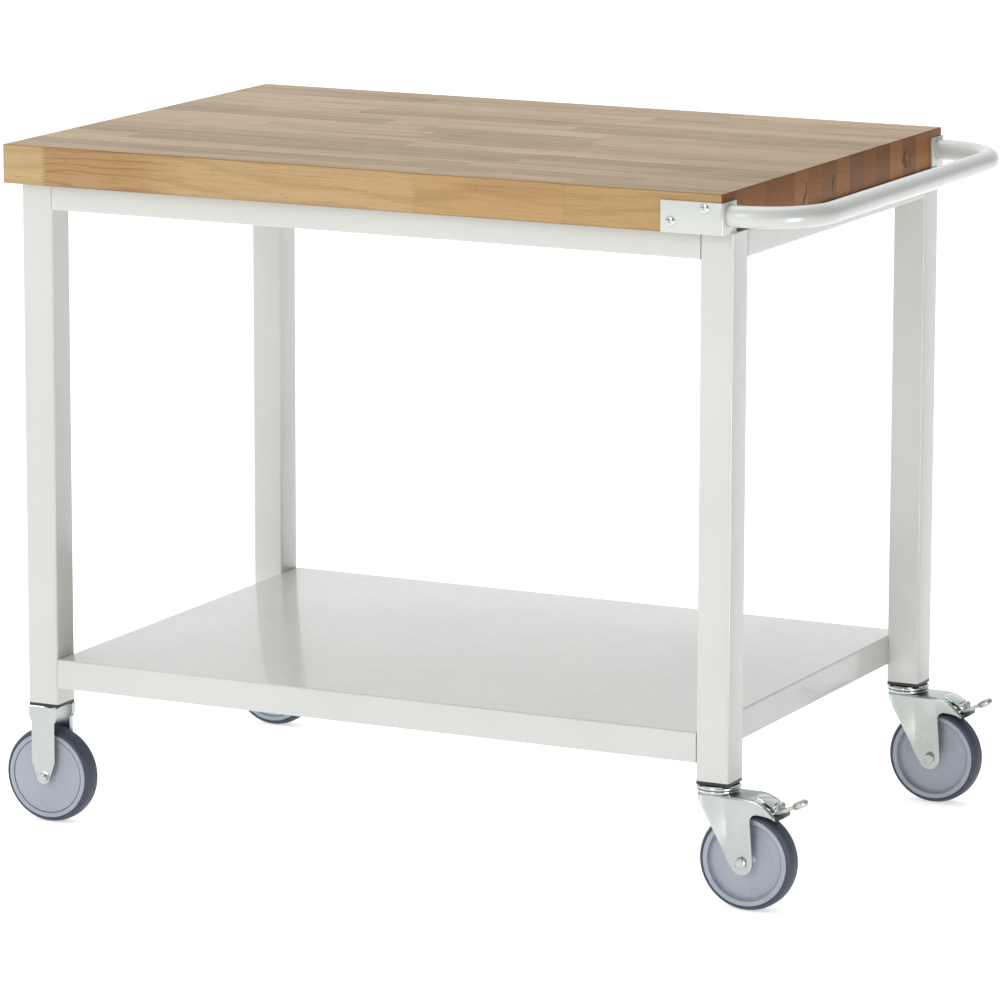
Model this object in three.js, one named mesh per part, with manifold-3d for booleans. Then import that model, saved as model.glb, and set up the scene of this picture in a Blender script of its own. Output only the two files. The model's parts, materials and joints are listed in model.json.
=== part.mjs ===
// A mobile workbench: butcher-block top, welded steel frame with a shelf, push handle and four castors.
// Millimetres, +Z up. The floor is z = 0. The length runs along X, with the handle at +X.

import * as THREE from 'three';
import { mergeVertices } from 'three/addons/utils/BufferGeometryUtils.js';
import Module from 'manifold-3d';

const wasm = await Module();
wasm.setup();

// ---------------------------------------------------------------- driving dimensions

const fitGap = 0.3; // clearance between pieces that seat in one another

// worktop
const benchHeight = 890;
const topLength = 1000;
const topDepth = 700;
const topThickness = 50;
const topEasing = 1.2; // broken edge all round
const topOverhangLeft = 14; // past the left legs
const topOverhangSide = 22; // past the frame, front and rear
const legsProud = 6; // the right legs stand out past the worktop's end

// frame
const frameLength = topLength - topOverhangLeft + legsProud; // over the legs
const frameDepth = topDepth - 2 * topOverhangSide;
const legSize = 44;
const legWall = 2;
const legCorner = 3; // outer corner radius of the tube
const legClearance = 35; // from the top of a wheel to the end of its leg
const railHeight = 34;
const railWidth = 25;
const railWall = 2;
const railCorner = 2.5;

// shelf
const shelfTop = 220.5; // height of its upper face
const shelfFlange = 38;
const shelfSheet = 1.5;
const shelfBend = 2.5;
const shelfLip = 12; // return fold under the flanges
const channelWidth = 60; // stiffener: crown, feet and height
const channelFoot = 15;
const channelHeight = 24;

// push handle
const handleDiameter = 28;
const handleWall = 2;
const handleReach = 100; // from the worktop's end to the middle of the grip
const handleBend = 87; // centre-line radius
const handleDrop = 27.5; // worktop's face down to the tube's middle
const bracketSheet = 3;
const bracketLength = 80; // along the worktop's long edge
const bracketWidth = 40; // across the worktop's end
const bracketHeight = 38;
const bracketBend = 4;
const bracketLift = 1.5; // its lower edge above the worktop's underside
const bracketScrewHole = 2.9;
const bracketScrews = [[22, 18], [67, 36]]; // from the worktop's end and from its face

// leg plug and castor stem
const plugFlange = 2.6;
const plugDepth = 32;
const plugCollar = 19;
const plugCollarHeight = 2;
const stemRadius = 6;
const stemTop = 38; // above the end of the leg

// wheel
const wheelRadius = 62.5;
const tyreHalfWidth = 14;
const tyreBand = 5; // half of the level band round the tread's crown
const tyreFlank = 3.5; // from the crown down to the tyre's flat side
const tyreThickness = 6.7;
const coreHalfWidth = 14.7; // at the rim
const rimWidth = 6;
const discHalfWidth = 12.6;
const dishRadius = 28; // inner edge of the dished wheel's level ring
const dishHalfWidth = 8.6;
const hubRadius = 12;
const hubHalfWidth = 17;
const wheelSteps = 24;

// axle
const axleRadius = 4;
const sleeveRadius = 6;
const hexRadius = 7.5; // across the corners, halved
const boltHeadHeight = 4.6;
const nutHeight = 6.4;

// castor forks
const forkSheet = 3;
const forkHalfWidth = 24;
const boltEye = 14.5; // radius of the swivel fork's round end
const trail = 41; // swivel axis to axle
const noseReach = 28; // swivel axis to the fork's front
const noseRadius = 21;
const foldReach = 21; // swivel axis to the fold down the fork's side
const leadRise = 1; // where the front edge's line down to the axle starts, above the upper face
const archDrop = 19; // upper face to the underside of the tail over the wheel
const archRadius = 9;
const archFront = 51.5; // rear edge of the fork's legs
const shoulder = 3.2; // bend radius round the top of the fork
const hoodStart = 39; // where the tail starts to curve down
const hoodRadius = 62;
const tailReach = 87; // swivel axis to the tail's tips
const hoodEnd = 66; // end of the tail's roof between its sides
const fixedForkWidth = 34;
const fixedForkTopWidth = 43;
const fixedForkEye = 9.5;
const fixedForkEdge = 3.5; // rounding of the drawn edge
const fixedForkFlange = 6.2; // depth of the turned-in edge

// swivel bearing
const raceRadius = 28;
const raceHeight = 4.6;
const lowerRaceHeight = 4.2;
const raceGap = 1;
const ballRadius = 3;
const ballCircle = 20;
const ballCount = 8;
const raceSteps = 3 * ballCount; // so that every ball stands at a corner of the faceted groove
const cageThickness = 0.5;
const cageHalfWidth = 3.6;

// brake
const brakePinX = 79; // from the swivel axis
const brakePinDrop = 13; // below the fork's upper face
const brakePinRadius = 2.5;
const brakeEyeRadius = 5;
const brakePlateSheet = 2.5;
const brakePlateHalfWidth = 13.5;
const brakePlateStart = 56;
const brakeEarWidth = 4;
const pedalSheet = 3;
const pedalArmHalfWidth = 7;
const padRadius = 8.5; // foot pad of the pedal
const padX = 110;
const padRise = 5.5; // above the pin
const padThickness = 6;
const shoeHalfWidth = 10.5;
const pedalTravel = 22; // degrees from free to locked
const brakeContactGap = 0.4; // shoe to tyre when locked

// ---------------------------------------------------------------- derived places

const legTop = benchHeight - topThickness;
const legX = (frameLength - legSize) / 2;
const legY = (frameDepth - legSize) / 2;
const topLeft = -frameLength / 2 - topOverhangLeft;
const topRight = topLeft + topLength;
const handleHeight = benchHeight - handleDrop;
const gripX = topRight + handleReach;
const axleHeight = wheelRadius;
const castorHeight = 2 * wheelRadius + legClearance; // floor to the end of a leg
const coreRadius = wheelRadius - tyreThickness;
const forkInner = forkHalfWidth - forkSheet;
const raceTop = castorHeight - plugFlange - plugCollarHeight - fitGap;
const raceBottom = raceTop - raceHeight;
const lowerRaceTop = raceBottom - raceGap;
const ballHeight = (raceBottom + lowerRaceTop) / 2;
const fixedForkTop = raceTop;
const swivelTopHeight = lowerRaceTop - lowerRaceHeight - fitGap; // fork's upper face
const leadHeight = swivelTopHeight + leadRise;
const archHeight = swivelTopHeight - archDrop;
const brakePinHeight = swivelTopHeight - brakePinDrop;
const padHeight = brakePinHeight + padRise;

// The left wheels and the handle are the bench's two ends. The origin is halfway between them.
const footprintMiddle = (gripX + handleDiameter / 2 - legX - wheelRadius) / 2;

// ---------------------------------------------------------------- materials

const paint = { color: 0xd9dbd7, roughness: 0.42, metalness: 0.0 };
const zinc = { color: 0xc4c9c8, roughness: 0.3, metalness: 0.85 };
const beech = { color: 0xb98a58, roughness: 0.5, metalness: 0.0 };
const blackPlastic = { color: 0x1d1f20, roughness: 0.5, metalness: 0.0 };
const greyPlastic = { color: 0x8e95a3, roughness: 0.45, metalness: 0.0 };
const treadRubber = { color: 0x474c58, roughness: 0.6, metalness: 0.0 };

// ---------------------------------------------------------------- solids

function closedMesh(positions, triangles, reversed) {
  const triVerts = [];
  for (let i = 0; i < triangles.length; i += 3) {
    const [a, b, c] = [triangles[i], triangles[i + 1], triangles[i + 2]];
    if (a === b || b === c || c === a) continue;
    triVerts.push(a, reversed ? c : b, reversed ? b : c);
  }
  const mesh = { numProp: 3, vertProperties: positions, triVerts: new Uint32Array(triVerts) };
  return new wasm.Manifold(new wasm.Mesh(mesh));
}

function solid(geometry) {
  const bare = geometry.clone();
  bare.deleteAttribute('normal');
  bare.deleteAttribute('uv');
  const merged = mergeVertices(bare, 1e-3);
  const positions = Float32Array.from(merged.attributes.position.array);
  const body = closedMesh(positions, merged.index.array, false);
  return body.volume() > 0 ? body : closedMesh(positions, merged.index.array, true);
}

const bench = new THREE.Group();

function place(parent, name, body, look) {
  const { vertProperties, triVerts } = body.getMesh();
  const geometry = new THREE.BufferGeometry();
  geometry.setAttribute('position', new THREE.BufferAttribute(Float32Array.from(vertProperties), 3));
  geometry.setIndex(new THREE.BufferAttribute(Uint32Array.from(triVerts), 1));
  geometry.computeVertexNormals();
  const mesh = new THREE.Mesh(geometry, new THREE.MeshStandardMaterial(look));
  mesh.name = name;
  parent.add(mesh);
}

const X = new THREE.Vector3(1, 0, 0);
const Y = new THREE.Vector3(0, 1, 0);
const Z = new THREE.Vector3(0, 0, 1);

// Extrusions of a flat shape. Its own x and y are laid along the two axes in the function's name.
function extrude(shape, depth, curveSegments, basis, from) {
  const geometry = new THREE.ExtrudeGeometry(shape, { depth, bevelEnabled: false, curveSegments });
  geometry.applyMatrix4(new THREE.Matrix4().makeBasis(...basis));
  geometry.translate(from.x, from.y, from.z);
  return solid(geometry);
}

function extrudeXY(shape, low, high, steps = 8) {
  return extrude(shape, high - low, steps, [X, Y, Z], new THREE.Vector3(0, 0, low));
}

function extrudeXZ(shape, low, high, steps = 8) {
  return extrude(shape, high - low, steps, [X, Z, Y.clone().negate()], new THREE.Vector3(0, high, 0));
}

function extrudeYZ(shape, low, high, steps = 8) {
  return extrude(shape, high - low, steps, [Y, Z, X], new THREE.Vector3(low, 0, 0));
}

// A revolve about Z or Y. The profile is [radius, height] pairs, closed on the axis or on itself.
function revolve(profile, steps) {
  return new THREE.LatheGeometry(profile.map(([r, h]) => new THREE.Vector2(r, h)), steps);
}

function revolveZ(profile, steps = 32) {
  return solid(revolve(profile, steps).rotateX(Math.PI / 2));
}

function revolveY(profile, steps = 32) {
  return solid(revolve(profile, steps));
}

// A rod of any number of sides along Y, used for axles, holes and hexagons.
function rodY(radius, low, high, x, z, steps = 24) {
  const geometry = new THREE.CylinderGeometry(radius, radius, high - low, steps);
  return solid(geometry.translate(x, (low + high) / 2, z));
}

function rodZ(radius, low, high, x = 0, y = 0, steps = 24) {
  const geometry = new THREE.CylinderGeometry(radius, radius, high - low, steps).rotateX(Math.PI / 2);
  return solid(geometry.translate(x, y, (low + high) / 2));
}

function box(x0, x1, y0, y1, z0, z1) {
  const geometry = new THREE.BoxGeometry(x1 - x0, y1 - y0, z1 - z0);
  return solid(geometry.translate((x0 + x1) / 2, (y0 + y1) / 2, (z0 + z1) / 2));
}

function roundedRect(x0, x1, y0, y1, r, path = new THREE.Shape()) {
  path.moveTo(x0 + r, y0);
  path.lineTo(x1 - r, y0);
  path.absarc(x1 - r, y0 + r, r, -Math.PI / 2, 0);
  path.lineTo(x1, y1 - r);
  path.absarc(x1 - r, y1 - r, r, 0, Math.PI / 2);
  path.lineTo(x0 + r, y1);
  path.absarc(x0 + r, y1 - r, r, Math.PI / 2, Math.PI);
  path.lineTo(x0, y0 + r);
  path.absarc(x0 + r, y0 + r, r, Math.PI, 1.5 * Math.PI);
  return path;
}

function polygon(points) {
  return new THREE.Shape(points.map(([x, y]) => new THREE.Vector2(x, y)));
}

// ---------------------------------------------------------------- worktop and frame

function worktop() {
  const half = topDepth / 2 - topEasing;
  const outline = polygon([
    [topLeft + topEasing, -half],
    [topRight - topEasing, -half],
    [topRight - topEasing, half],
    [topLeft + topEasing, half],
  ]);
  const geometry = new THREE.ExtrudeGeometry(outline, {
    depth: topThickness - 2 * topEasing,
    bevelThickness: topEasing,
    bevelSize: topEasing,
    bevelSegments: 1,
  });
  return solid(geometry.translate(0, 0, legTop + topEasing));
}

function boxTube(x0, x1, y0, y1, corner, wall) {
  const shape = roundedRect(x0, x1, y0, y1, corner);
  shape.holes.push(roundedRect(x0 + wall, x1 - wall, y0 + wall, y1 - wall, corner - wall, new THREE.Path()));
  return shape;
}

function leg(x, y) {
  const half = legSize / 2;
  const section = boxTube(x - half, x + half, y - half, y + half, legCorner, legWall);
  return extrudeXY(section, castorHeight, legTop, 2);
}

function longRail(side) {
  const outer = side * frameDepth / 2;
  const inner = outer - side * railWidth;
  const [low, high] = [Math.min(inner, outer), Math.max(inner, outer)];
  const section = boxTube(low, high, legTop - railHeight, legTop, railCorner, railWall);
  const reach = frameLength / 2 - legSize;
  return extrudeYZ(section, -reach, reach, 2);
}

function crossRail(side) {
  const outer = side * frameLength / 2;
  const inner = outer - side * railWidth;
  const [low, high] = [Math.min(inner, outer), Math.max(inner, outer)];
  const section = boxTube(low, high, legTop - railHeight, legTop, railCorner, railWall);
  const reach = frameDepth / 2 - legSize;
  return extrudeXZ(section, -reach, reach, 2);
}

// ---------------------------------------------------------------- shelf

const shelfReach = frameLength / 2 - legSize;
const shelfHalfDepth = frameDepth / 2;
const shelfBottom = shelfTop - shelfFlange;

// A block with round upper edges on all four sides: the outside or the inside of a folded tray.
function trayBlock(reach, halfDepth, low, high, bend) {
  const across = (half) => {
    const shape = new THREE.Shape();
    shape.moveTo(-half, low);
    shape.lineTo(half, low);
    shape.lineTo(half, high - bend);
    shape.absarc(half - bend, high - bend, bend, 0, Math.PI / 2);
    shape.lineTo(-half + bend, high);
    shape.absarc(-half + bend, high - bend, bend, Math.PI / 2, Math.PI);
    return shape;
  };
  const alongX = extrudeYZ(across(halfDepth), -reach, reach, 4);
  return alongX.intersect(extrudeXZ(across(reach), -halfDepth, halfDepth, 4));
}

function shelfTray() {
  const [reach, depth] = [shelfReach - shelfSheet, shelfHalfDepth - shelfSheet];
  const [lipX, lipY] = [shelfReach - shelfLip, shelfHalfDepth - shelfLip];
  const bend = shelfBend - shelfSheet;
  const outside = trayBlock(shelfReach, shelfHalfDepth, shelfBottom, shelfTop, shelfBend);
  const inside = trayBlock(reach, depth, shelfBottom + shelfSheet, shelfTop - shelfSheet, bend);
  return outside.subtract(inside).subtract(box(-lipX, lipX, -lipY, lipY, shelfBottom - 1, shelfTop - 10));
}

// A hat-section channel under the sheet, with its feet against the underside.
function shelfStiffener() {
  const [crown, sheet] = [channelWidth / 2, shelfSheet];
  const feet = crown + channelFoot;
  const high = shelfTop - shelfSheet;
  const low = high - channelHeight;
  const section = polygon([
    [-feet, high],
    [-feet, high - sheet],
    [-crown, high - sheet],
    [-crown, low],
    [crown, low],
    [crown, high - sheet],
    [feet, high - sheet],
    [feet, high],
    [crown - sheet, high],
    [crown - sheet, low + sheet],
    [-crown + sheet, low + sheet],
    [-crown + sheet, high],
  ]);
  const reach = shelfReach - shelfSheet - shelfBend;
  return extrudeYZ(section, -reach, reach);
}

// ---------------------------------------------------------------- push handle

const handleRadius = handleDiameter / 2;
const bracketOuter = topDepth / 2 + bracketSheet;
const handleY = bracketOuter - bracketWidth / 2;
const handleFoot = topRight + bracketSheet; // where the tube's ends are welded on

function pushHandle() {
  const at = (x, y) => new THREE.Vector3(x, y, handleHeight);
  const bend = (side) => {
    const centre = at(gripX - handleBend, side * (handleY - handleBend));
    const points = [];
    for (let i = 0; i <= 5; i++) {
      const angle = side * (Math.PI / 2) * (1 - i / 5);
      points.push(at(centre.x + handleBend * Math.cos(angle), centre.y + handleBend * Math.sin(angle)));
    }
    return side > 0 ? points.reverse() : points;
  };
  const front = bend(-1);
  const rear = bend(1);
  const stops = [at(handleFoot, -handleY), ...front, ...rear, at(handleFoot, handleY)];
  return sweep(stops, handleRadius, handleRadius - handleWall, 10);
}

// A round tube through a list of points in a level plane, mitred at each of them.
function sweep(stops, outer, inner, sides) {
  const ring = (k, radius) => {
    const before = stops[Math.max(k - 1, 0)];
    const after = stops[Math.min(k + 1, stops.length - 1)];
    const into = stops[k].clone().sub(before).normalize();
    const out = after.clone().sub(stops[k]).normalize();
    const along = into.add(out).normalize();
    const across = new THREE.Vector3().crossVectors(along, Z);
    const leaving = after.clone().sub(k < stops.length - 1 ? stops[k] : before).normalize();
    const stretch = 1 / Math.abs(along.dot(leaving));
    const points = [];
    for (let i = 0; i < sides; i++) {
      const angle = (2 * Math.PI * i) / sides;
      const point = stops[k].clone().addScaledVector(across, radius * stretch * Math.cos(angle));
      points.push(point.addScaledVector(Z, radius * Math.sin(angle)));
    }
    return points;
  };
  const tube = (radius) => stops.map((_, k) => ring(k, radius));
  return loft(tube(outer)).subtract(loft(tube(inner)));
}

// Joins rings of equal length into one closed body, with a fan across each end.
function loft(rings) {
  const count = rings[0].length;
  const points = rings.flat();
  const index = [];
  for (let k = 0; k + 1 < rings.length; k++) {
    for (let i = 0; i < count; i++) {
      const a = k * count + i;
      const b = k * count + ((i + 1) % count);
      index.push(a, b, b + count, a, b + count, a + count);
    }
  }
  const last = (rings.length - 1) * count;
  for (let i = 1; i + 1 < count; i++) {
    index.push(0, i + 1, i, last, last + i, last + i + 1);
  }
  const geometry = new THREE.BufferGeometry().setFromPoints(points);
  geometry.setIndex(index);
  return solid(geometry);
}

// An angle plate folded round one corner of the worktop.
function handleBracket(side) {
  const [inner, bend] = [topDepth / 2, bracketBend];
  const plan = new THREE.Shape();
  const end = topRight - bracketLength;
  const y = (value) => side * value;
  plan.moveTo(end, y(inner));
  plan.lineTo(end, y(bracketOuter));
  plan.lineTo(handleFoot - bend, y(bracketOuter));
  const [from, to] = side > 0 ? [Math.PI / 2, 0] : [-Math.PI / 2, 0];
  plan.absarc(handleFoot - bend, y(bracketOuter - bend), bend, from, to, side > 0);
  plan.lineTo(handleFoot, y(bracketOuter - bracketWidth));
  plan.lineTo(topRight, y(bracketOuter - bracketWidth));
  plan.lineTo(topRight, y(inner));
  const low = legTop + bracketLift;
  let plate = extrudeXY(plan, low, low + bracketHeight, 4);
  for (const [along, down] of bracketScrews) {
    const [near, far] = side > 0 ? [inner - 1, bracketOuter + 1] : [-bracketOuter - 1, -inner + 1];
    plate = plate.subtract(rodY(bracketScrewHole, near, far, topRight - along, benchHeight - down, 10));
  }
  return plate;
}

// ---------------------------------------------------------------- leg plugs and stems

// Every castor is drawn with its leg's axis on x = y = 0 and carried to its corner by a group.
function legPlug() {
  const half = legSize / 2;
  const body = half - legWall - fitGap;
  const flange = extrudeXY(roundedRect(-half, half, -half, half, legCorner), castorHeight - plugFlange, castorHeight, 2);
  const core = extrudeXY(roundedRect(-body, body, -body, body, legCorner - legWall), castorHeight, castorHeight + plugDepth, 2);
  const collar = rodZ(plugCollar, raceTop + fitGap, castorHeight - plugFlange, 0, 0, 16);
  const bore = rodZ(stemRadius + fitGap, 0, castorHeight + plugDepth + 1, 0, 0, 10);
  return flange.add(core).add(collar).subtract(bore);
}

// The pin that holds a castor in its plug, riveted over under the plate it carries.
function castorStem(plateTop) {
  const headTop = plateTop - forkSheet - fitGap;
  const headHeight = 3;
  const headRadius = 11;
  const top = castorHeight + stemTop;
  return revolveZ([
    [0, headTop - headHeight],
    [headRadius - 2, headTop - headHeight],
    [headRadius, headTop - 1],
    [headRadius, headTop],
    [stemRadius, headTop],
    [stemRadius, top - 1.5],
    [stemRadius - 1.5, top],
    [0, top],
  ], 10);
}

// ---------------------------------------------------------------- wheels and axles

function tyre(x) {
  const inner = coreRadius + fitGap;
  const side = [
    [inner, tyreHalfWidth],
    [wheelRadius - tyreFlank, tyreHalfWidth],
    [wheelRadius - tyreFlank * 0.36, tyreHalfWidth - tyreFlank],
    [wheelRadius, tyreBand],
  ];
  const other = side.map(([r, y]) => [r, -y]).reverse();
  return revolveY([...side, ...other, side[0]], wheelSteps).translate([x, 0, axleHeight]);
}

// dished: the face falls from the rim into a bowl round the hub. Otherwise it is one flat disc.
function wheelCore(x, dished) {
  const bore = sleeveRadius + fitGap;
  const rimInner = coreRadius - rimWidth;
  const face = dished
    ? [[hubRadius + 3, discHalfWidth], [dishRadius, dishHalfWidth], [rimInner - 4, dishHalfWidth]]
    : [[hubRadius, discHalfWidth], [rimInner - 1, discHalfWidth]];
  const side = [
    [bore, hubHalfWidth],
    [hubRadius, hubHalfWidth],
    ...face,
    [rimInner, coreHalfWidth],
    [coreRadius, coreHalfWidth],
  ];
  const other = side.map(([r, y]) => [r, -y]).reverse();
  return revolveY([...side, ...other, side[0]], wheelSteps).translate([x, 0, axleHeight]);
}

function axleSleeve(x) {
  const half = forkInner - fitGap;
  const tube = rodY(sleeveRadius, -half, half, x, axleHeight, 12);
  return tube.subtract(rodY(axleRadius + fitGap, -half - 1, half + 1, x, axleHeight, 12));
}

// side: the way the bolt's head faces along Y.
function axleBolt(x, side) {
  const plate = forkHalfWidth + fitGap;
  const reach = plate + nutHeight;
  const [low, high] = side > 0 ? [-reach, plate] : [-plate, reach];
  const shank = rodY(axleRadius, low, high, x, axleHeight, 12);
  const [headLow, headHigh] = side > 0 ? [plate, plate + boltHeadHeight] : [-plate - boltHeadHeight, -plate];
  return shank.add(rodY(hexRadius, headLow, headHigh, x, axleHeight, 6));
}

// A self-locking nut: a hexagon with a round collar.
function axleNut(x, side) {
  const plate = forkHalfWidth + fitGap;
  const hexHeight = nutHeight * 0.7;
  const span = (from, to) => (side > 0 ? [from, to] : [-to, -from]);
  const [low, high] = span(plate, plate + hexHeight);
  const [collarLow, collarHigh] = span(plate, plate + nutHeight - fitGap);
  const nut = rodY(hexRadius, low, high, x, axleHeight, 6);
  const collar = rodY(hexRadius * 0.8, collarLow, collarHigh, x, axleHeight, 12);
  return nut.add(collar).subtract(rodY(axleRadius + fitGap, low - 9, high + 9, x, axleHeight, 12));
}

// ---------------------------------------------------------------- fixed fork

// The fork seen along Y. inset pulls the whole outline in by the sheet's thickness.
function fixedForkOutline(inset) {
  const top = fixedForkTopWidth / 2 - inset;
  const width = fixedForkWidth / 2 - inset;
  const eye = fixedForkEye - inset;
  const high = fixedForkTop - inset;
  const neck = fixedForkTop - 15;
  const taper = axleHeight + 20;
  const shape = new THREE.Shape();
  shape.moveTo(top, high);
  shape.lineTo(-top, high);
  shape.lineTo(-top, neck + 3);
  shape.quadraticCurveTo(-top + 0.5, neck - 3, -width, neck - 5);
  shape.lineTo(-width, taper);
  shape.absarc(0, axleHeight, eye, Math.PI * 1.11, Math.PI * 1.89);
  shape.lineTo(width, taper);
  shape.lineTo(width, neck - 5);
  shape.quadraticCurveTo(top - 0.5, neck - 3, top, neck + 3);
  return shape;
}

function fixedFork() {
  const edge = fixedForkEdge;
  const pressed = new THREE.ExtrudeGeometry(fixedForkOutline(0), {
    depth: 2 * (forkHalfWidth - edge),
    bevelThickness: edge,
    bevelSize: edge,
    bevelOffset: -edge,
    bevelSegments: 2,
    curveSegments: 3,
  });
  pressed.applyMatrix4(new THREE.Matrix4().makeBasis(X, Z, Y.clone().negate()));
  pressed.translate(0, forkHalfWidth - edge, 0);
  const inside = extrudeXZ(fixedForkOutline(forkSheet), -forkInner, forkInner, 3);
  const gap = forkHalfWidth - fixedForkFlange;
  const mouth = box(-legSize, legSize, -gap, gap, 0, fixedForkTop - forkSheet);
  const bolt = rodY(axleRadius + fitGap, -forkHalfWidth - 1, forkHalfWidth + 1, 0, axleHeight, 12);
  const pin = rodZ(stemRadius + fitGap, 0, fixedForkTop + 1, 0, 0, 12);
  return solid(pressed).subtract(inside).subtract(mouth).subtract(bolt).subtract(pin);
}

// ---------------------------------------------------------------- swivel fork

// Upper face of the fork along X: level round the bearing, then an arc down over the wheel.
function roof(x, inset) {
  const fall = Math.max(x - hoodStart, 0);
  return swivelTopHeight - hoodRadius + Math.sqrt((hoodRadius - inset) ** 2 - fall ** 2);
}

// Half of the fork seen from above, from the middle of its round nose back along one side.
function forkPlan(inset) {
  const centre = noseRadius - noseReach;
  const points = [];
  for (let i = 0; i <= 5; i++) {
    const angle = Math.PI - (i / 5) * (Math.PI / 2) * 0.94;
    const radius = noseRadius - inset;
    points.push([centre + radius * Math.cos(angle), radius * Math.sin(angle)]);
  }
  points.push([foldReach, forkHalfWidth - inset]);
  for (let i = 0; i <= 5; i++) points.push([hoodStart + (tailReach + 9 - hoodStart) * (i / 5), forkHalfWidth - inset]);
  return points;
}

// The fork's pressed shell as a solid block, with its upper edge rounded by bend.
function forkBlock(inset, bend, low) {
  const ring = (pull, height) => {
    const half = forkPlan(inset + pull).map(([x, y]) => [x, y, height(x)]);
    const far = half.slice(1).reverse();
    const front = half.map(([x, y, z]) => new THREE.Vector3(x, -y, z));
    return [...front, ...far.map(([x, y, z]) => new THREE.Vector3(x, y, z))];
  };
  const turn = bend > 0 ? [0, Math.PI / 4, Math.PI / 2] : [0];
  const rounds = turn.map((a) => {
    const drop = bend * (1 - Math.sin(a));
    return ring(bend * (1 - Math.cos(a)), (x) => roof(x, inset) - drop);
  });
  return loftBand([ring(0, () => low), ...rounds]);
}

// As loft, for rings that mirror about y = 0: each end is closed by strips from side to side.
function loftBand(rings) {
  const count = rings[0].length;
  const half = (count - 1) / 2;
  const points = rings.flat();
  const index = [];
  for (let k = 0; k + 1 < rings.length; k++) {
    for (let i = 0; i < count; i++) {
      const a = k * count + i;
      const b = k * count + ((i + 1) % count);
      index.push(a, b, b + count, a, b + count, a + count);
    }
  }
  const strip = (base, flip) => {
    for (let i = 0; i < half; i++) {
      const [a, b] = [base + i, base + i + 1];
      const [c, d] = [base + ((count - i) % count), base + count - i - 1];
      const faces = i === 0 ? [a, b, d] : [a, b, d, a, d, c];
      index.push(...(flip ? faces.reverse() : faces));
    }
  };
  strip(0, true);
  strip((rings.length - 1) * count, false);
  const geometry = new THREE.BufferGeometry().setFromPoints(points);
  geometry.setIndex(index);
  return solid(geometry);
}

// The fork seen from its side: sloping front edge, round eye, upright rear edge, arch and tail.
function forkSide() {
  const [from, eye] = [new THREE.Vector2(-noseReach - 2, leadHeight), new THREE.Vector2(trail, axleHeight)];
  const reach = from.distanceTo(eye);
  const lean = Math.atan2(eye.y - from.y, eye.x - from.x) - Math.asin(boltEye / reach);
  const shape = new THREE.Shape();
  shape.moveTo(from.x, swivelTopHeight + 5);
  shape.lineTo(from.x, from.y);
  shape.absarc(eye.x, eye.y, boltEye, lean - Math.PI / 2, 0.08);
  shape.lineTo(archFront, archHeight - archRadius);
  shape.absarc(archFront + archRadius, archHeight - archRadius, archRadius, Math.PI, Math.PI / 2, true);
  shape.quadraticCurveTo((archFront + tailReach) / 2 + 6, archHeight - 0.5, tailReach - 5, archHeight - 3.4);
  shape.lineTo(tailReach - 1.5, archHeight - 4.8);
  shape.lineTo(tailReach, archHeight - 3);
  shape.lineTo(tailReach + 4, swivelTopHeight + 5);
  return shape;
}

function swivelFork() {
  const low = axleHeight - boltEye - 8;
  const shell = forkBlock(0, shoulder, low).subtract(forkBlock(forkSheet, 0, low - 10));
  const pressed = shell.intersect(extrudeXZ(forkSide(), -forkHalfWidth - 5, forkHalfWidth + 5, 7));
  const tailGap = forkInner - 1;
  const open = box(hoodEnd, tailReach + 9, -tailGap, tailGap, archHeight - 20, swivelTopHeight + 9);
  const bolt = rodY(axleRadius + fitGap, -forkHalfWidth - 1, forkHalfWidth + 1, trail, axleHeight, 12);
  const pin = rodZ(stemRadius + fitGap, 0, swivelTopHeight + 9, 0, 0, 12);
  return pressed.subtract(open).subtract(bolt).subtract(pin);
}

// ---------------------------------------------------------------- swivel bearing

// The groove that the balls run in, as part of a race's profile. side: 1 where it opens upwards.
function ballTrack(face, side) {
  const radius = ballRadius + fitGap;
  const open = Math.asin(Math.abs(face - ballHeight) / radius);
  const points = [];
  for (let i = 0; i <= 3; i++) {
    const angle = open + (Math.PI - 2 * open) * (i / 3);
    points.push([ballCircle - radius * Math.cos(angle), ballHeight - side * radius * Math.sin(angle)]);
  }
  return points;
}

function topRace() {
  const bore = stemRadius + fitGap;
  return revolveZ([
    [bore, raceBottom],
    ...ballTrack(raceBottom, -1),
    [raceRadius - 1.2, raceBottom],
    [raceRadius, raceBottom + 1.3],
    [raceRadius, raceTop - 2.2],
    [raceRadius - 2.5, raceTop],
    [bore, raceTop],
    [bore, raceBottom],
  ], raceSteps);
}

function lowerRace() {
  const bore = stemRadius + fitGap;
  const low = swivelTopHeight + fitGap;
  return revolveZ([
    [bore, lowerRaceTop],
    ...ballTrack(lowerRaceTop, 1),
    [raceRadius - 1.6, lowerRaceTop],
    [raceRadius - 0.4, lowerRaceTop - 1.2],
    [raceRadius - 0.4, low + 1.6],
    [raceRadius - 2.5, low],
    [bore, low],
    [bore, lowerRaceTop],
  ], raceSteps);
}

function ballCage() {
  const [inner, outer] = [ballCircle - cageHalfWidth, ballCircle + cageHalfWidth];
  const [low, high] = [ballHeight - cageThickness / 2, ballHeight + cageThickness / 2];
  let cage = revolveZ([[inner, low], [outer, low], [outer, high], [inner, high], [inner, low]], 16);
  for (let i = 0; i < ballCount; i++) {
    const angle = (2 * Math.PI * i) / ballCount;
    const ball = new THREE.SphereGeometry(ballRadius, 6, 3);
    ball.translate(ballCircle * Math.cos(angle), ballCircle * Math.sin(angle), ballHeight);
    cage = cage.add(solid(ball));
  }
  return cage;
}

// ---------------------------------------------------------------- brake

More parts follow.
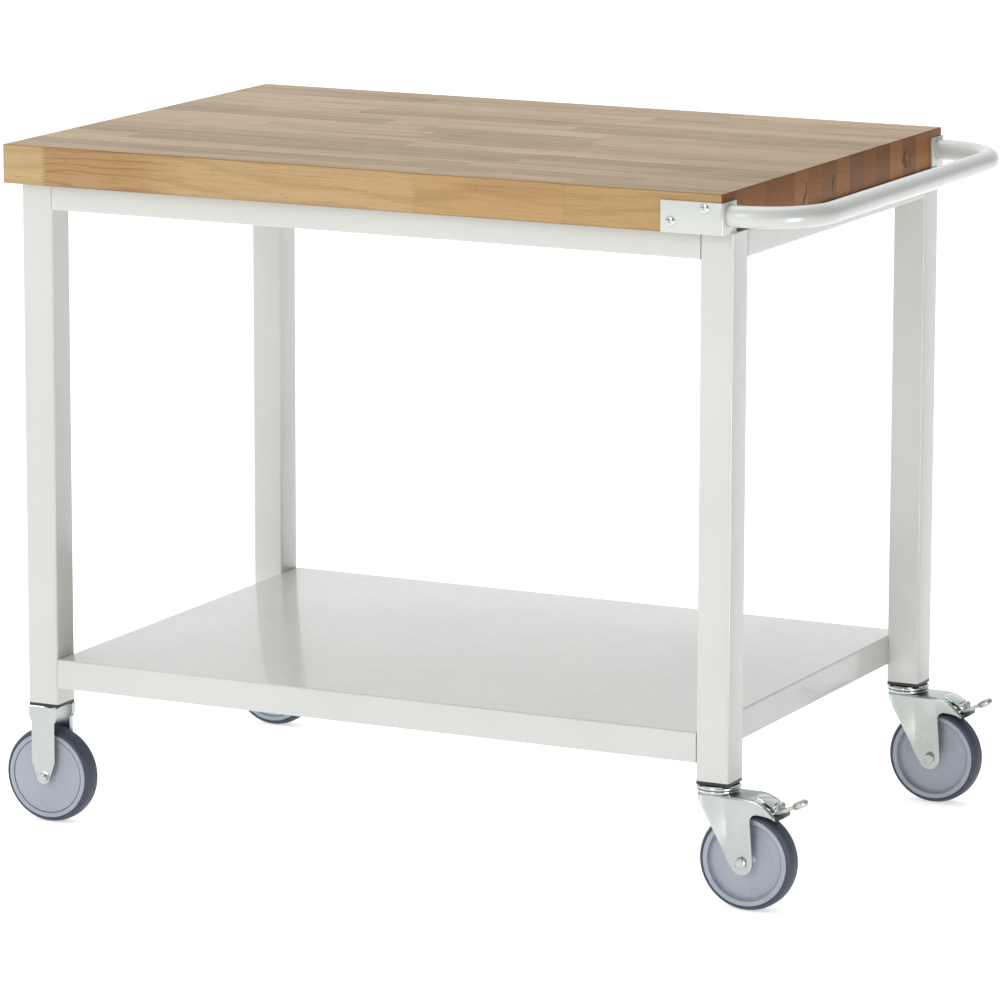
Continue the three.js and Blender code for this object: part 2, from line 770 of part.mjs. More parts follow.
// A strip that lies on the tail's roof and ends in two eyes for the brake pin.
function brakePlate() {
  const under = (x) => roof(x, 0) + fitGap;
  const over = (x) => roof(x, -brakePlateSheet) + fitGap;
  const end = brakePinX - 2;
  const steps = 4;
  const at = (i) => brakePlateStart + ((end - brakePlateStart) * i) / steps;
  const lower = [];
  const upper = [];
  for (let i = 0; i <= steps; i++) {
    lower.push([at(i), under(at(i))]);
    upper.unshift([at(i), over(at(i))]);
  }
  const width = brakePlateHalfWidth;
  const strip = extrudeXZ(polygon([...lower, ...upper]), -width, width);
  const eyes = rodY(brakeEyeRadius, -width, width, brakePinX, brakePinHeight, 14);
  const between = width - brakeEarWidth;
  const relief = rodY(brakeEyeRadius + 1, -between, between, brakePinX, brakePinHeight, 14);
  const bore = rodY(brakePinRadius + fitGap, -width - 1, width + 1, brakePinX, brakePinHeight, 10);
  return strip.add(eyes).subtract(relief).subtract(bore);
}

function brakePin() {
  const half = brakePlateHalfWidth + fitGap;
  const shank = rodY(brakePinRadius, -half, half, brakePinX, brakePinHeight, 10);
  const headRadius = brakePinRadius + 1.4;
  const near = rodY(headRadius, -half - 1.4, -half, brakePinX, brakePinHeight, 10);
  return shank.add(near).add(rodY(headRadius, half, half + 1.4, brakePinX, brakePinHeight, 10));
}

// A bent plate: a barrel on the pin, a short drop, then an arm up and out to a thick round foot pad.
const pedalElbow = [brakePinX + 6, brakePinHeight - 7];
const pedalSlope = Math.atan2(padHeight - pedalElbow[1], padX - pedalElbow[0]);

function brakePedal() {
  const barrelHalf = brakePlateHalfWidth - brakeEarWidth - fitGap;
  const barrel = rodY(brakeEyeRadius - 0.5, -barrelHalf, barrelHalf, brakePinX, brakePinHeight, 14);
  const [ex, ez] = pedalElbow;
  const [cos, sin] = [Math.cos(pedalSlope), Math.sin(pedalSlope)];
  const [sx, sz] = [-pedalSheet * sin, pedalSheet * cos];
  const side = polygon([
    [brakePinX - 2.5, brakePinHeight - 2],
    [ex - 4.5, ez - 0.5],
    [ex, ez],
    [padX, padHeight],
    [padX + sx, padHeight + sz],
    [ex + sx + 1.5, ez + sz + 1],
    [brakePinX + 4, brakePinHeight],
  ]);
  const plan = new THREE.Shape();
  const arm = pedalArmHalfWidth;
  const neck = arm * 0.62;
  plan.moveTo(brakePinX - 4, -arm);
  plan.lineTo(ex + 6, -arm);
  plan.quadraticCurveTo(padX - 12, -neck, padX, -neck);
  plan.lineTo(padX, neck);
  plan.quadraticCurveTo(padX - 12, neck, ex + 6, arm);
  plan.lineTo(brakePinX - 4, arm);
  const swept = extrudeXY(plan, brakePinHeight - 40, brakePinHeight + 40, 4);
  const plate = extrudeXZ(side, -arm - 1, arm + 1).intersect(swept);
  const disc = new THREE.CylinderGeometry(padRadius, padRadius, padThickness, 16);
  disc.rotateX(Math.PI / 2).rotateY(-pedalSlope).translate(padX + sx / 2, 0, padHeight + sz / 2);
  const bore = rodY(brakePinRadius + fitGap, -barrelHalf - 1, barrelHalf + 1, brakePinX, brakePinHeight, 10);
  return barrel.add(plate).add(solid(disc)).subtract(bore);
}

// The block under the pedal. Its nose swings down on to the tyre as the pedal is pressed.
function brakeShoe() {
  const pin = new THREE.Vector2(brakePinX, brakePinHeight);
  const axle = new THREE.Vector2(trail, axleHeight);
  const toAxle = axle.clone().sub(pin);
  const reach = toAxle.length() - wheelRadius - brakeContactGap;
  const rest = toAxle.angle() + THREE.MathUtils.degToRad(pedalTravel);
  const nose = pin.clone().add(new THREE.Vector2(Math.cos(rest), Math.sin(rest)).multiplyScalar(reach));
  const [ex, ez] = pedalElbow;
  const [cos, sin] = [Math.cos(pedalSlope), Math.sin(pedalSlope)];
  const along = (d, off) => [ex + d * cos + off * sin, ez + d * sin - off * cos];
  const side = polygon([
    [nose.x - 3, nose.y + 1.6],
    [nose.x, nose.y],
    [nose.x + 4, nose.y + 0.9],
    along(13, 5),
    along(16, 2.4),
    along(16, fitGap),
    along(0.6, fitGap),
    [ex - 4.6, ez - 0.5 - fitGap],
    [nose.x - 3.6, ez - 1.6],
  ]);
  return extrudeXZ(side, -shoeHalfWidth, shoeHalfWidth);
}

// ---------------------------------------------------------------- assembly

const corners = [
  ['front_left', -1, -1],
  ['rear_left', -1, 1],
  ['front_right', 1, -1],
  ['rear_right', 1, 1],
];

function wheelSet(castor, corner, x, headSide, dished) {
  place(castor, `axle_bolt_${corner}`, axleBolt(x, headSide), zinc);
  place(castor, `axle_nut_${corner}`, axleNut(x, -headSide), zinc);
  place(castor, `axle_sleeve_${corner}`, axleSleeve(x), zinc);
  place(castor, `wheel_core_${corner}`, wheelCore(x, dished), greyPlastic);
  place(castor, `tyre_${corner}`, tyre(x), treadRubber);
}

function fixedCastor(castor, corner) {
  place(castor, `castor_stem_${corner}`, castorStem(fixedForkTop), zinc);
  place(castor, `fixed_fork_${corner}`, fixedFork(), zinc);
  wheelSet(castor, corner, 0, 1, false);
}

function swivelCastor(castor, corner) {
  place(castor, `castor_stem_${corner}`, castorStem(swivelTopHeight), zinc);
  place(castor, `bearing_top_race_${corner}`, topRace(), zinc);
  place(castor, `bearing_ball_cage_${corner}`, ballCage(), zinc);
  place(castor, `bearing_lower_race_${corner}`, lowerRace(), zinc);
  place(castor, `swivel_fork_${corner}`, swivelFork(), zinc);
  place(castor, `brake_plate_${corner}`, brakePlate(), zinc);
  place(castor, `brake_pin_${corner}`, brakePin(), zinc);
  place(castor, `brake_pedal_${corner}`, brakePedal(), zinc);
  place(castor, `brake_shoe_${corner}`, brakeShoe(), blackPlastic);
  wheelSet(castor, corner, trail, -1, true);
}

place(bench, 'worktop', worktop(), beech);
for (const [corner, alongX, alongY] of corners) {
  place(bench, `leg_${corner}`, leg(alongX * legX, alongY * legY), paint);
}
place(bench, 'rail_front', longRail(-1), paint);
place(bench, 'rail_rear', longRail(1), paint);
place(bench, 'rail_left', crossRail(-1), paint);
place(bench, 'rail_right', crossRail(1), paint);
place(bench, 'shelf_tray', shelfTray(), paint);
place(bench, 'shelf_stiffener', shelfStiffener(), paint);
place(bench, 'push_handle', pushHandle(), paint);
place(bench, 'handle_bracket_front', handleBracket(-1), paint);
place(bench, 'handle_bracket_rear', handleBracket(1), paint);

for (const [corner, alongX, alongY] of corners) {
  const castor = new THREE.Group();
  castor.position.set(alongX * legX, alongY * legY, 0);
  place(castor, `leg_plug_${corner}`, legPlug(), blackPlastic);
  if (alongX < 0) fixedCastor(castor, corner);
  else swivelCastor(castor, corner);
  bench.add(castor);
}

bench.position.x = -footprintMiddle;
bench.updateMatrixWorld(true);

export default bench;
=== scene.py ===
"""Mobile workbench: butcher-block top on a powder-coated steel frame with four castors.

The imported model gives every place. Builder functions work in millimetres, and finished() turns
a piece into metres, gives it its finish and hangs it on its body.
"""

import json
import math
import random

import bmesh
import bpy
from mathutils import Matrix, Vector


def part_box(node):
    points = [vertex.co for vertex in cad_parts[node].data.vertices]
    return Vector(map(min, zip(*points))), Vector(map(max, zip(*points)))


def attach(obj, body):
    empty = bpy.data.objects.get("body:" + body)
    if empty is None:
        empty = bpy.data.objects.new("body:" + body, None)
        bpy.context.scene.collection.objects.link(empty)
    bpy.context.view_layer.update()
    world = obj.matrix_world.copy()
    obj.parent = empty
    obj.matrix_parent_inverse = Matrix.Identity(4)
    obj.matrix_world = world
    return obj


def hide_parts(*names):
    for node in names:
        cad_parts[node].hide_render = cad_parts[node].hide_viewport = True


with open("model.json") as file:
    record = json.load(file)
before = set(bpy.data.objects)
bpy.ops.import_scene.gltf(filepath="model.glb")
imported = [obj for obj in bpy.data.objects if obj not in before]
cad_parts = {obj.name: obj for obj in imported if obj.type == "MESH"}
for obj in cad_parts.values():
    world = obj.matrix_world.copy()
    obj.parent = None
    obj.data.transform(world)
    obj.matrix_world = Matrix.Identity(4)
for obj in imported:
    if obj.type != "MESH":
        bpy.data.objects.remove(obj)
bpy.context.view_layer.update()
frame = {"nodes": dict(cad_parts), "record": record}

MM = 0.001
LEFT = ("front_left", "rear_left")
RIGHT = ("front_right", "rear_right")

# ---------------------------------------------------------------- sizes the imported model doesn't state

top_row = 43.75  # width of a stave in the worktop
top_easing = 1.6
finger_depth = 8.0  # of the finger joints along the worktop's edge
finger_pitch = 3.9
first_joint = 60.0  # finger joints of the front stave, from the left end
second_joint = 587.0
third_joint = 790.0
tube_wall = 2.0
leg_corner = 3.0
rail_corner = 2.5
shelf_sheet = 1.5
shelf_bend = 2.5
shelf_lip = 12.0
handle_bend = 87.0
bracket_bend = 4.0
bracket_lift = 0.2  # of the plates' lower edge, above the worktop's underside
bracket_screws = ((22, 18), (67, 36))  # from the worktop's end and from its face
screw_head = 6.0
screw_dome = 2.4
weld_ripple = 1.5
frame_bead = 1.9  # radius of a weld bead's drops
handle_bead = 1.5
bead_stand = 0.2  # of a bead's middle, off the face it lies on
plug_flange = 4.0
plug_collar = 19.0
plug_insert_corner = 1.2
fork_sheet = 3.0
fork_eye = 14.5
fork_shoulder = 3.2
nose_shoulder = 5.8  # the wider round on the fork's nose, under the bearing
nose_radius = 15.5
fold_reach = 21.0
flare_length = 9.0  # of the steeper strip in front of the fold, and how far it stands in
flare_rise = 3.8
arch_drop = 19.0
arch_radius = 9.0
arch_front = 51.5
hood_start = 45.0
hood_radius = 46.0
hood_end = 66.0
overrun = 9.0  # of a cutting block past the fork, so that it cuts clean
lead_rise = 1.0
fixed_fork_width = 34.0
fixed_fork_top = 41.0
fixed_fork_eye = 9.5
fixed_fork_edge = 4.2
fixed_fork_flange = 6.2
stem_radius = 6.0
stem_head = 3.0
axle_radius = 4.0
sleeve_radius = 6.0  # of the axle sleeve, which a wheel's bore clears
head_chamfer = 3.6  # how far the cone on a hexagon's corners reaches back
nut_hexagon = 0.68  # share of a nut's length that is hexagon, before its collar
seat_gap = 0.3
ball_circle = 20.0
ball_radius = 3.0
ball_count = 8
cage_half_width = 3.6
cage_half_height = 0.25
race_step = 1.9  # height of a bearing ring's outer step, and how far its slope stands in
race_slope = 2.3
core_radius = 55.8
core_half_width = 14.7
rim_width = 6.0
disc_half_width = 12.6
flush_half_width = 13.9  # of the fixed wheels' flat disc
dish_radius = 36.0
dish_half_width = 8.6
dish_step = 0.5
hub_radius = 12.0
hub_half_width = 17.0
tyre_half_width = 14.0
tyre_band = 5.0
tyre_flank = 3.5
pin_radius = 2.5
brake_eye = 5.0
brake_sheet = 2.5
strip_sink = 3.0  # of the brake strip into the slot behind the hood
brake_ear = 4.0
shoe_reach = 12.0  # pin to the end of the shoe under the tongue
pedal_sheet = 4.4
pedal_arm = 7.0
pad_radius = 10.0
pad_thickness = 8.6
pedal_pad_reach = 31.0  # pin to the middle of the pad
pedal_pad_rise = 5.5

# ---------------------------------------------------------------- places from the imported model

bodies = frame["record"]["behaviour"]["bodies"]
rides_on = {node: body for body, nodes in bodies.items() for node in nodes}


def box(node):
    """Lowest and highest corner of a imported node, in millimetres."""
    low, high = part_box(node)
    return low / MM, high / MM


def middle(node):
    low, high = box(node)
    return (low + high) / 2


# ---------------------------------------------------------------- shader helpers


def feed(tree, made, sockets):
    """Sets a node's sockets. A socket's value is either a constant or another node's output."""
    for name, value in sockets.items():
        if isinstance(value, bpy.types.NodeSocket):
            tree.links.new(value, made.inputs[name])
        else:
            made.inputs[name].default_value = value


def node(tree, kind, sockets=None, **settings):
    """Adds a node to a shader or geometry tree."""
    made = tree.nodes.new(kind)
    for key, value in settings.items():
        setattr(made, key, value)
    feed(tree, made, sockets or {})
    return made


def maths(tree, operation, a, b=0.0, c=0.0, clamp=False):
    sockets = {0: a, 1: b, 2: c}
    return node(tree, "ShaderNodeMath", sockets, operation=operation, use_clamp=clamp).outputs[0]


def times(tree, a, b):
    return maths(tree, "MULTIPLY", a, b)


def minus(tree, a, b):
    return maths(tree, "SUBTRACT", a, b)


def vector_maths(tree, operation, a, b=(0, 0, 0)):
    made = node(tree, "ShaderNodeVectorMath", {0: a, 1: b}, operation=operation)
    return made.outputs["Value" if operation in ("LENGTH", "DOT_PRODUCT", "DISTANCE") else "Vector"]


def between(tree, value, low, high, to_low=0.0, to_high=1.0):
    """Smooth step of a value from low to high."""
    sockets = {"Value": value, "From Min": low, "From Max": high, "To Min": to_low, "To Max": to_high}
    return node(tree, "ShaderNodeMapRange", sockets, interpolation_type="SMOOTHSTEP").outputs["Result"]


def blend(tree, factor, a, b, mode="MIX"):
    made = node(tree, "ShaderNodeMix", data_type="RGBA", blend_type=mode)
    for name, value in (("Factor_Float", factor), ("A_Color", a), ("B_Color", b)):
        socket = next(s for s in made.inputs if s.identifier == name)
        if isinstance(value, bpy.types.NodeSocket):
            tree.links.new(value, socket)
        else:
            socket.default_value = value
    return next(s for s in made.outputs if s.identifier == "Result_Color")


def noise(tree, vector, scale, detail=2.0, roughness=0.5, distortion=0.0):
    sockets = {
        "Vector": vector,
        "Scale": scale,
        "Detail": detail,
        "Roughness": roughness,
        "Distortion": distortion,
    }
    return node(tree, "ShaderNodeTexNoise", sockets).outputs["Fac"]


def stretched(tree, vector, scale):
    """A vector scaled by its own factor along each axis."""
    return vector_maths(tree, "MULTIPLY", vector, scale)


def rgb(red, green, blue):
    """A colour from 0 to 255 as a display shows it, in the linear values that the shaders take."""
    linear = []
    for channel in (red, green, blue):
        c = channel / 255
        linear.append(c / 12.92 if c <= 0.04045 else ((c + 0.055) / 1.055) ** 2.4)
    return (*linear, 1.0)


def new_finish(name):
    """An empty material. Returns it with its tree, its Principled shader and the object coordinates."""
    material = bpy.data.materials.new(name)
    material.use_nodes = True
    tree = material.node_tree
    tree.nodes.clear()
    shader = node(tree, "ShaderNodeBsdfPrincipled")
    out = node(tree, "ShaderNodeOutputMaterial")
    tree.links.new(shader.outputs["BSDF"], out.inputs["Surface"])
    place = node(tree, "ShaderNodeTexCoord").outputs["Object"]
    return material, tree, shader, place


def bump(tree, shader, height, strength, distance):
    sockets = {"Height": height, "Strength": strength, "Distance": distance}
    made = node(tree, "ShaderNodeBump", sockets)
    tree.links.new(made.outputs["Normal"], shader.inputs["Normal"])


# ---------------------------------------------------------------- finishes


def powder_coat():
    """Light grey polyester powder, satin, with a fine orange peel."""
    material, tree, shader, place = new_finish("light grey powder coat")
    cloud = noise(tree, place, 5.0, 3.0)
    speck = noise(tree, place, 420.0, 2.0, 0.6)
    tone = blend(tree, between(tree, cloud, 0.3, 0.7), rgb(198, 200, 195), rgb(203, 205, 200))
    tone = blend(tree, between(tree, speck, 0.62, 0.8, 0.0, 0.25), tone, rgb(186, 188, 183))
    polish = between(tree, noise(tree, place, 60.0, 3.0), 0.3, 0.7, 0.33, 0.42)
    feed(tree, shader, {"Base Color": tone, "Roughness": polish, "Specular IOR Level": 0.5})
    feed(tree, shader, {"Coat Weight": 0.65, "Coat Roughness": 0.1})
    bump(tree, shader, noise(tree, place, 750.0, 2.0), 0.12, 0.0002)
    return material


def zinc_plate(name, tint, rough, cloudiness=0.25):
    """Bright zinc on steel: faint cloudy crystals and drawing marks."""
    material, tree, shader, place = new_finish(name)
    cloud = noise(tree, place, 70.0, 4.0, 0.6)
    grain = noise(tree, stretched(tree, place, (1400.0, 1400.0, 220.0)), 1.0, 2.0)
    dark = tuple(c * (1 - 0.22 * cloudiness) for c in tint[:3]) + (1.0,)
    tone = blend(tree, between(tree, cloud, 0.35, 0.68), dark, tint)
    mottled = between(tree, cloud, 0.3, 0.7, rough * 0.92, rough * 1.1)
    streaked = maths(tree, "MULTIPLY_ADD", grain, rough * 0.1, mottled)
    feed(tree, shader, {"Base Color": tone, "Metallic": 1.0, "Roughness": streaked})
    bump(tree, shader, grain, 0.03, 0.0001)
    return material


def moulded_plastic(name, colour, rough, streaks=0.06):
    material, tree, shader, place = new_finish(name)
    flow = noise(tree, place, 30.0, 3.0)
    dark = tuple(c * (1 - streaks) for c in colour[:3]) + (1.0,)
    tone = blend(tree, between(tree, flow, 0.35, 0.65), dark, colour)
    fine = noise(tree, place, 1500.0, 2.0)
    satin = between(tree, flow, 0.3, 0.7, rough * 0.9, rough * 1.1)
    feed(tree, shader, {"Base Color": tone, "Roughness": satin})
    bump(tree, shader, fine, 0.05, 0.0001)
    return material


def tread_rubber():
    """Blue-grey thermoplastic rubber with a matt, faintly marked running surface."""
    material, tree, shader, place = new_finish("grey tread rubber")
    dust = noise(tree, place, 45.0, 4.0, 0.65)
    tone = blend(tree, between(tree, dust, 0.35, 0.75), rgb(51, 58, 74), rgb(63, 70, 86))
    feed(tree, shader, {"Base Color": tone, "Roughness": between(tree, dust, 0.3, 0.7, 0.48, 0.62)})
    bump(tree, shader, noise(tree, place, 900.0, 3.0), 0.1, 0.0002)
    return material


def stave_number(tree, place):
    """The number of the stave a point lies in. The staves' ends are finger-jointed on the long edges.

    Returns it with the distance to the joint, and the place along X with the joint's teeth added.
    """
    here = node(tree, "ShaderNodeSeparateXYZ", {0: place}).outputs
    teeth = maths(tree, "PINGPONG", maths(tree, "DIVIDE", here["Z"], finger_pitch * MM), 0.5)
    teeth = times(tree, minus(tree, teeth, 0.25), 2 * finger_depth * MM)
    fingers = node(tree, "ShaderNodeAttribute", attribute_name="fingers").outputs["Fac"]
    joint = node(tree, "ShaderNodeAttribute", attribute_name="joint").outputs["Fac"]
    shifted = maths(tree, "MULTIPLY_ADD", teeth, fingers, here["X"])
    past = maths(tree, "GREATER_THAN", shifted, joint)
    first = node(tree, "ShaderNodeAttribute", attribute_name="stave").outputs["Fac"]
    second = node(tree, "ShaderNodeAttribute", attribute_name="next_stave").outputs["Fac"]
    number = node(tree, "ShaderNodeMix", {0: past, 2: first, 3: second}, data_type="FLOAT").outputs[0]
    nearness = maths(tree, "ABSOLUTE", minus(tree, shifted, joint))
    return number, nearness, shifted


def end_crack(tree, here, y, z, width, height, lean):
    """A dark check in the end grain: a thin leaning ellipse round one place."""
    across = minus(tree, here["Y"], y)
    up = minus(tree, here["Z"], z)
    leaning = maths(tree, "MULTIPLY_ADD", up, -lean, across)
    a = maths(tree, "POWER", maths(tree, "DIVIDE", leaning, width), 2.0)
    b = maths(tree, "POWER", maths(tree, "DIVIDE", up, height), 2.0)
    return between(tree, maths(tree, "ADD", a, b), 0.35, 1.5, 1.0, 0.0)


def oiled_beech():
    """Beech staves, each with its own tone and grain: tan above, golden edges, red-brown end grain. Part of
    each side's tone is painted light: the top paled as by a sheen, the edges golden and the ends darker as
    the light falls on them.
    """
    material, tree, shader, place = new_finish("oiled beech staves")
    low = box("worktop")[0]
    number, nearness, along = stave_number(tree, place)
    lot = node(tree, "ShaderNodeTexWhiteNoise", {"W": number}, noise_dimensions="1D")
    chance = node(tree, "ShaderNodeSeparateColor", {0: lot.outputs["Color"]}).outputs
    shift = node(tree, "ShaderNodeCombineXYZ", {0: times(tree, number, 0.73)}).outputs[0]
    shift = vector_maths(tree, "ADD", shift, stretched(tree, lot.outputs["Color"], (3.1, 0.5, 0.4)))
    local = vector_maths(tree, "ADD", place, shift)

    # growth rings round a pith that runs along the stave, somewhere outside it
    warp = noise(tree, stretched(tree, local, (2.2, 11.0, 11.0)), 1.0, 3.0)
    heart_y = between(tree, chance[0], 0.0, 1.0, -0.12, 0.12)
    heart_z = between(tree, chance[1], 0.0, 1.0, 0.60, 0.80)
    heart = node(tree, "ShaderNodeCombineXYZ", {1: heart_y, 2: heart_z}).outputs[0]
    from_heart = vector_maths(tree, "SUBTRACT", place, heart)
    from_heart = stretched(tree, from_heart, (0.035, 1.0, 1.0))
    radius = vector_maths(tree, "LENGTH", from_heart)
    ring_field = maths(tree, "MULTIPLY_ADD", warp, 9.0, times(tree, radius, 240.0))
    ring = maths(tree, "PINGPONG", ring_field, 1.0)
    rings = between(tree, ring, 0.55, 1.0)

    fibre = noise(tree, stretched(tree, local, (14.0, 620.0, 620.0)), 1.0, 3.0, 0.6)
    streak = noise(tree, stretched(tree, local, (2.0, 42.0, 42.0)), 1.0, 4.0, 0.6)
    flecks = noise(tree, stretched(tree, local, (70.0, 1500.0, 1300.0)), 1.0, 1.0)
    blotch = noise(tree, stretched(tree, local, (3.5, 9.0, 9.0)), 1.0, 3.0)

    # which side of the block a point is on; the sides get separate tones that are partly the wood's own and
    # partly painted light
    facing = node(tree, "ShaderNodeNewGeometry").outputs["True Normal"]
    side = node(tree, "ShaderNodeSeparateXYZ", {0: vector_maths(tree, "ABSOLUTE", facing)}).outputs
    on_end = maths(tree, "GREATER_THAN", side["X"], 0.7)
    on_edge = maths(tree, "GREATER_THAN", side["Y"], 0.7)

    # the upper face, its paler, greyer tone partly a painted sheen
    light, mid, dark = rgb(181, 154, 116), rgb(155, 131, 92), rgb(116, 91, 58)
    tone = blend(tree, between(tree, chance[2], 0.1, 0.9), mid, light)
    pink = maths(tree, "GREATER_THAN", chance[0], 0.72)
    tone = blend(tree, times(tree, pink, 0.35), tone, rgb(162, 132, 99))
    tone = blend(tree, between(tree, streak, 0.46, 0.76, 0.0, 0.7), tone, dark)
    tone = blend(tree, between(tree, blotch, 0.55, 0.8, 0.0, 0.35), tone, dark)

    # the long edges, their warmer golden tone partly painted light
    edge = blend(tree, between(tree, chance[2], 0.0, 1.0), rgb(173, 144, 97), rgb(191, 165, 119))
    edge = blend(tree, times(tree, pink, 0.4), edge, rgb(172, 133, 90))
    edge = blend(tree, between(tree, streak, 0.5, 0.8, 0.0, 0.55), edge, rgb(142, 97, 58))
    edge = blend(tree, between(tree, blotch, 0.55, 0.8, 0.0, 0.3), edge, rgb(150, 100, 62))
    along = minus(tree, along, low.x * MM)
    heartwood = times(tree, on_edge, between(tree, along, 0.18, 0.28, 1.0, 0.0))
    heartwood = times(tree, heartwood, maths(tree, "GREATER_THAN", along, first_joint * MM))
    edge = blend(tree, times(tree, heartwood, 0.6), edge, rgb(161, 120, 76))
    darker = maths(tree, "GREATER_THAN", along, second_joint * MM)
    edge = blend(tree, times(tree, darker, 0.45), edge, rgb(175, 136, 82))
    paler = maths(tree, "LESS_THAN", along, first_joint * MM)
    edge = blend(tree, times(tree, paler, 0.5), edge, rgb(190, 162, 118))
    tone = blend(tree, on_edge, tone, edge)

    # the ends, with their dark checks; their darker tone is partly the end grain's own and partly painted
    # shade
    here = node(tree, "ShaderNodeSeparateXYZ", {0: place}).outputs
    pores = noise(tree, stretched(tree, place, (40.0, 1100.0, 1100.0)), 1.0, 2.0)
    end = blend(tree, between(tree, chance[2], 0.0, 1.0), rgb(140, 90, 48), rgb(162, 109, 63))
    end = blend(tree, times(tree, pink, 0.6), end, rgb(110, 76, 52))
    end = blend(tree, between(tree, pores, 0.4, 0.75, 0.0, 0.4), end, rgb(86, 52, 30))
    front, under = low.y * MM, low.z * MM
    for away, up, width, height, lean in (
        (0.250, 0.014, 0.0030, 0.010, 0.55),
        (0.256, 0.026, 0.0018, 0.009, -0.15),
        (0.340, 0.021, 0.0026, 0.011, 0.15),
        (0.573, 0.027, 0.0032, 0.009, 0.70),
        (0.577, 0.017, 0.0050, 0.008, -0.45),
        (0.592, 0.020, 0.0025, 0.010, 0.30),
    ):
        crack = end_crack(tree, here, front + away, under + up, width, height, lean)
        end = blend(tree, times(tree, crack, 0.85), end, rgb(62, 32, 18))
    tone = blend(tree, on_end, tone, end)

    # what all sides share: rings, fibres, ray flecks, glue lines, and painted shade that darkens the broken
    # edge
    arches = maths(tree, "PINGPONG", times(tree, ring_field, 2.6), 1.0)
    cathedral = between(tree, arches, 0.6, 1.0)
    plain = times(tree, times(tree, rings, 0.15), minus(tree, 1.0, heartwood))
    arched = times(tree, times(tree, cathedral, heartwood), 0.3)
    drawn = maths(tree, "ADD", plain, arched)
    tone = blend(tree, drawn, tone, rgb(128, 86, 56), "MULTIPLY")
    tone = blend(tree, between(tree, fibre, 0.45, 0.8, 0.0, 0.3), tone, rgb(150, 112, 80), "MULTIPLY")
    tone = blend(tree, between(tree, flecks, 0.6, 0.76, 0.0, 0.3), tone, rgb(140, 100, 70), "MULTIPLY")
    rows = maths(tree, "DIVIDE", minus(tree, here["Y"], front), top_row * MM)
    within = maths(tree, "FRACT", maths(tree, "ADD", rows, 0.5))
    seam = maths(tree, "ABSOLUTE", minus(tree, within, 0.5))
    glued = between(tree, times(tree, seam, top_row * MM), 0.0, 0.0006, 0.4, 0.0)
    glued = times(tree, glued, minus(tree, 1.0, on_edge))
    jointed = between(tree, nearness, 0.0, 0.0007, 0.5, 0.0)
    jointed = times(tree, jointed, minus(tree, 1.0, on_end))
    tone = blend(tree, maths(tree, "MAXIMUM", glued, jointed), tone, rgb(120, 82, 56), "MULTIPLY")
    # painted shade: the eased faces along every edge are darkened
    squareness = maths(tree, "MAXIMUM", side["X"], maths(tree, "MAXIMUM", side["Y"], side["Z"]))
    eased_edge_shade = between(tree, squareness, 0.9, 0.999, 0.75, 0.0)
    tone = blend(tree, eased_edge_shade, tone, rgb(176, 134, 100), "MULTIPLY")
    feed(tree, shader, {"Base Color": tone, "Roughness": between(tree, fibre, 0.3, 0.8, 0.4, 0.58)})
    feed(tree, shader, {"Specular IOR Level": between(tree, on_end, 0.0, 1.0, 0.3, 0.1)})
    feed(tree, shader, {"Coat Weight": 0.02, "Coat Roughness": 0.35})
    bump(tree, shader, maths(tree, "ADD", fibre, times(tree, rings, 0.3)), 0.1, 0.0004)
    return material


FINISHES = {
    "powder_coat": powder_coat(),
    "beech": oiled_beech(),
    "zinc_plate": zinc_plate("zinc plate", rgb(181, 185, 182), 0.24),
    "bright_zinc": zinc_plate("bright zinc", rgb(200, 205, 206), 0.13, 0.2),
    "pedal_zinc": zinc_plate("pedal zinc", rgb(182, 187, 178), 0.38, 0.4),
    "black_plastic": moulded_plastic("black plastic", rgb(34, 35, 37), 0.42),
    "grey_plastic": moulded_plastic("grey wheel plastic", rgb(158, 165, 176), 0.3),
    "grey_tread": tread_rubber(),
}

# ---------------------------------------------------------------- mesh helpers


def fillet(points, radii, steps=5):
    """Rounds the corners of a closed outline. radii is one number for all corners, or one for each."""
    if not isinstance(radii, (list, tuple)):
        radii = [radii] * len(points)
    made = []
    for i, (point, radius) in enumerate(zip(points, radii)):
        corner = Vector(point)
        before = Vector(points[i - 1]) - corner
        after = Vector(points[(i + 1) % len(points)]) - corner
        if radius <= 0 or before.length < 1e-6 or after.length < 1e-6:
            made.append(tuple(corner))
            continue
        half = before.angle(after) / 2
        if half > math.pi / 2 - 0.02:
            made.append(tuple(corner))
            continue
        back = min(radius / math.tan(half), before.length * 0.49, after.length * 0.49)
        reach = back * math.tan(half)
        centre = corner + (before.normalized() + after.normalized()).normalized() * (reach / math.sin(half))
        start = corner + before.normalized() * back - centre
        end = corner + after.normalized() * back - centre
        turn = start.angle_signed(end)
        for k in range(steps + 1):
            angle = -turn * k / steps
            cos, sin = math.cos(angle), math.sin(angle)
            made.append((centre.x + start.x * cos - start.y * sin, centre.y + start.x * sin + start.y * cos))
    return made


def arc(centre, radius, start, end, steps):
    """Points on a circle from one angle to another, in radians."""
    angles = [start + (end - start) * k / steps for k in range(steps + 1)]
    return [(centre[0] + radius * math.cos(a), centre[1] + radius * math.sin(a)) for a in angles]


def closed(bm):
    """Merges doubles and turns every face outwards."""
    bmesh.ops.remove_doubles(bm, verts=bm.verts, dist=1e-4)
    bmesh.ops.recalc_face_normals(bm, faces=bm.faces)
    return bm


def skin(rings):
    """A mesh with faces between rings of equal length, and its rows of vertices."""
    bm = bmesh.new()
    rows = [[bm.verts.new(point) for point in ring] for ring in rings]
    count = len(rows[0])
    for here, there in zip(rows, rows[1:]):
        for i in range(count):
            j = (i + 1) % count
            bm.faces.new((here[i], here[j], there[j], there[i]))
    return bm, rows


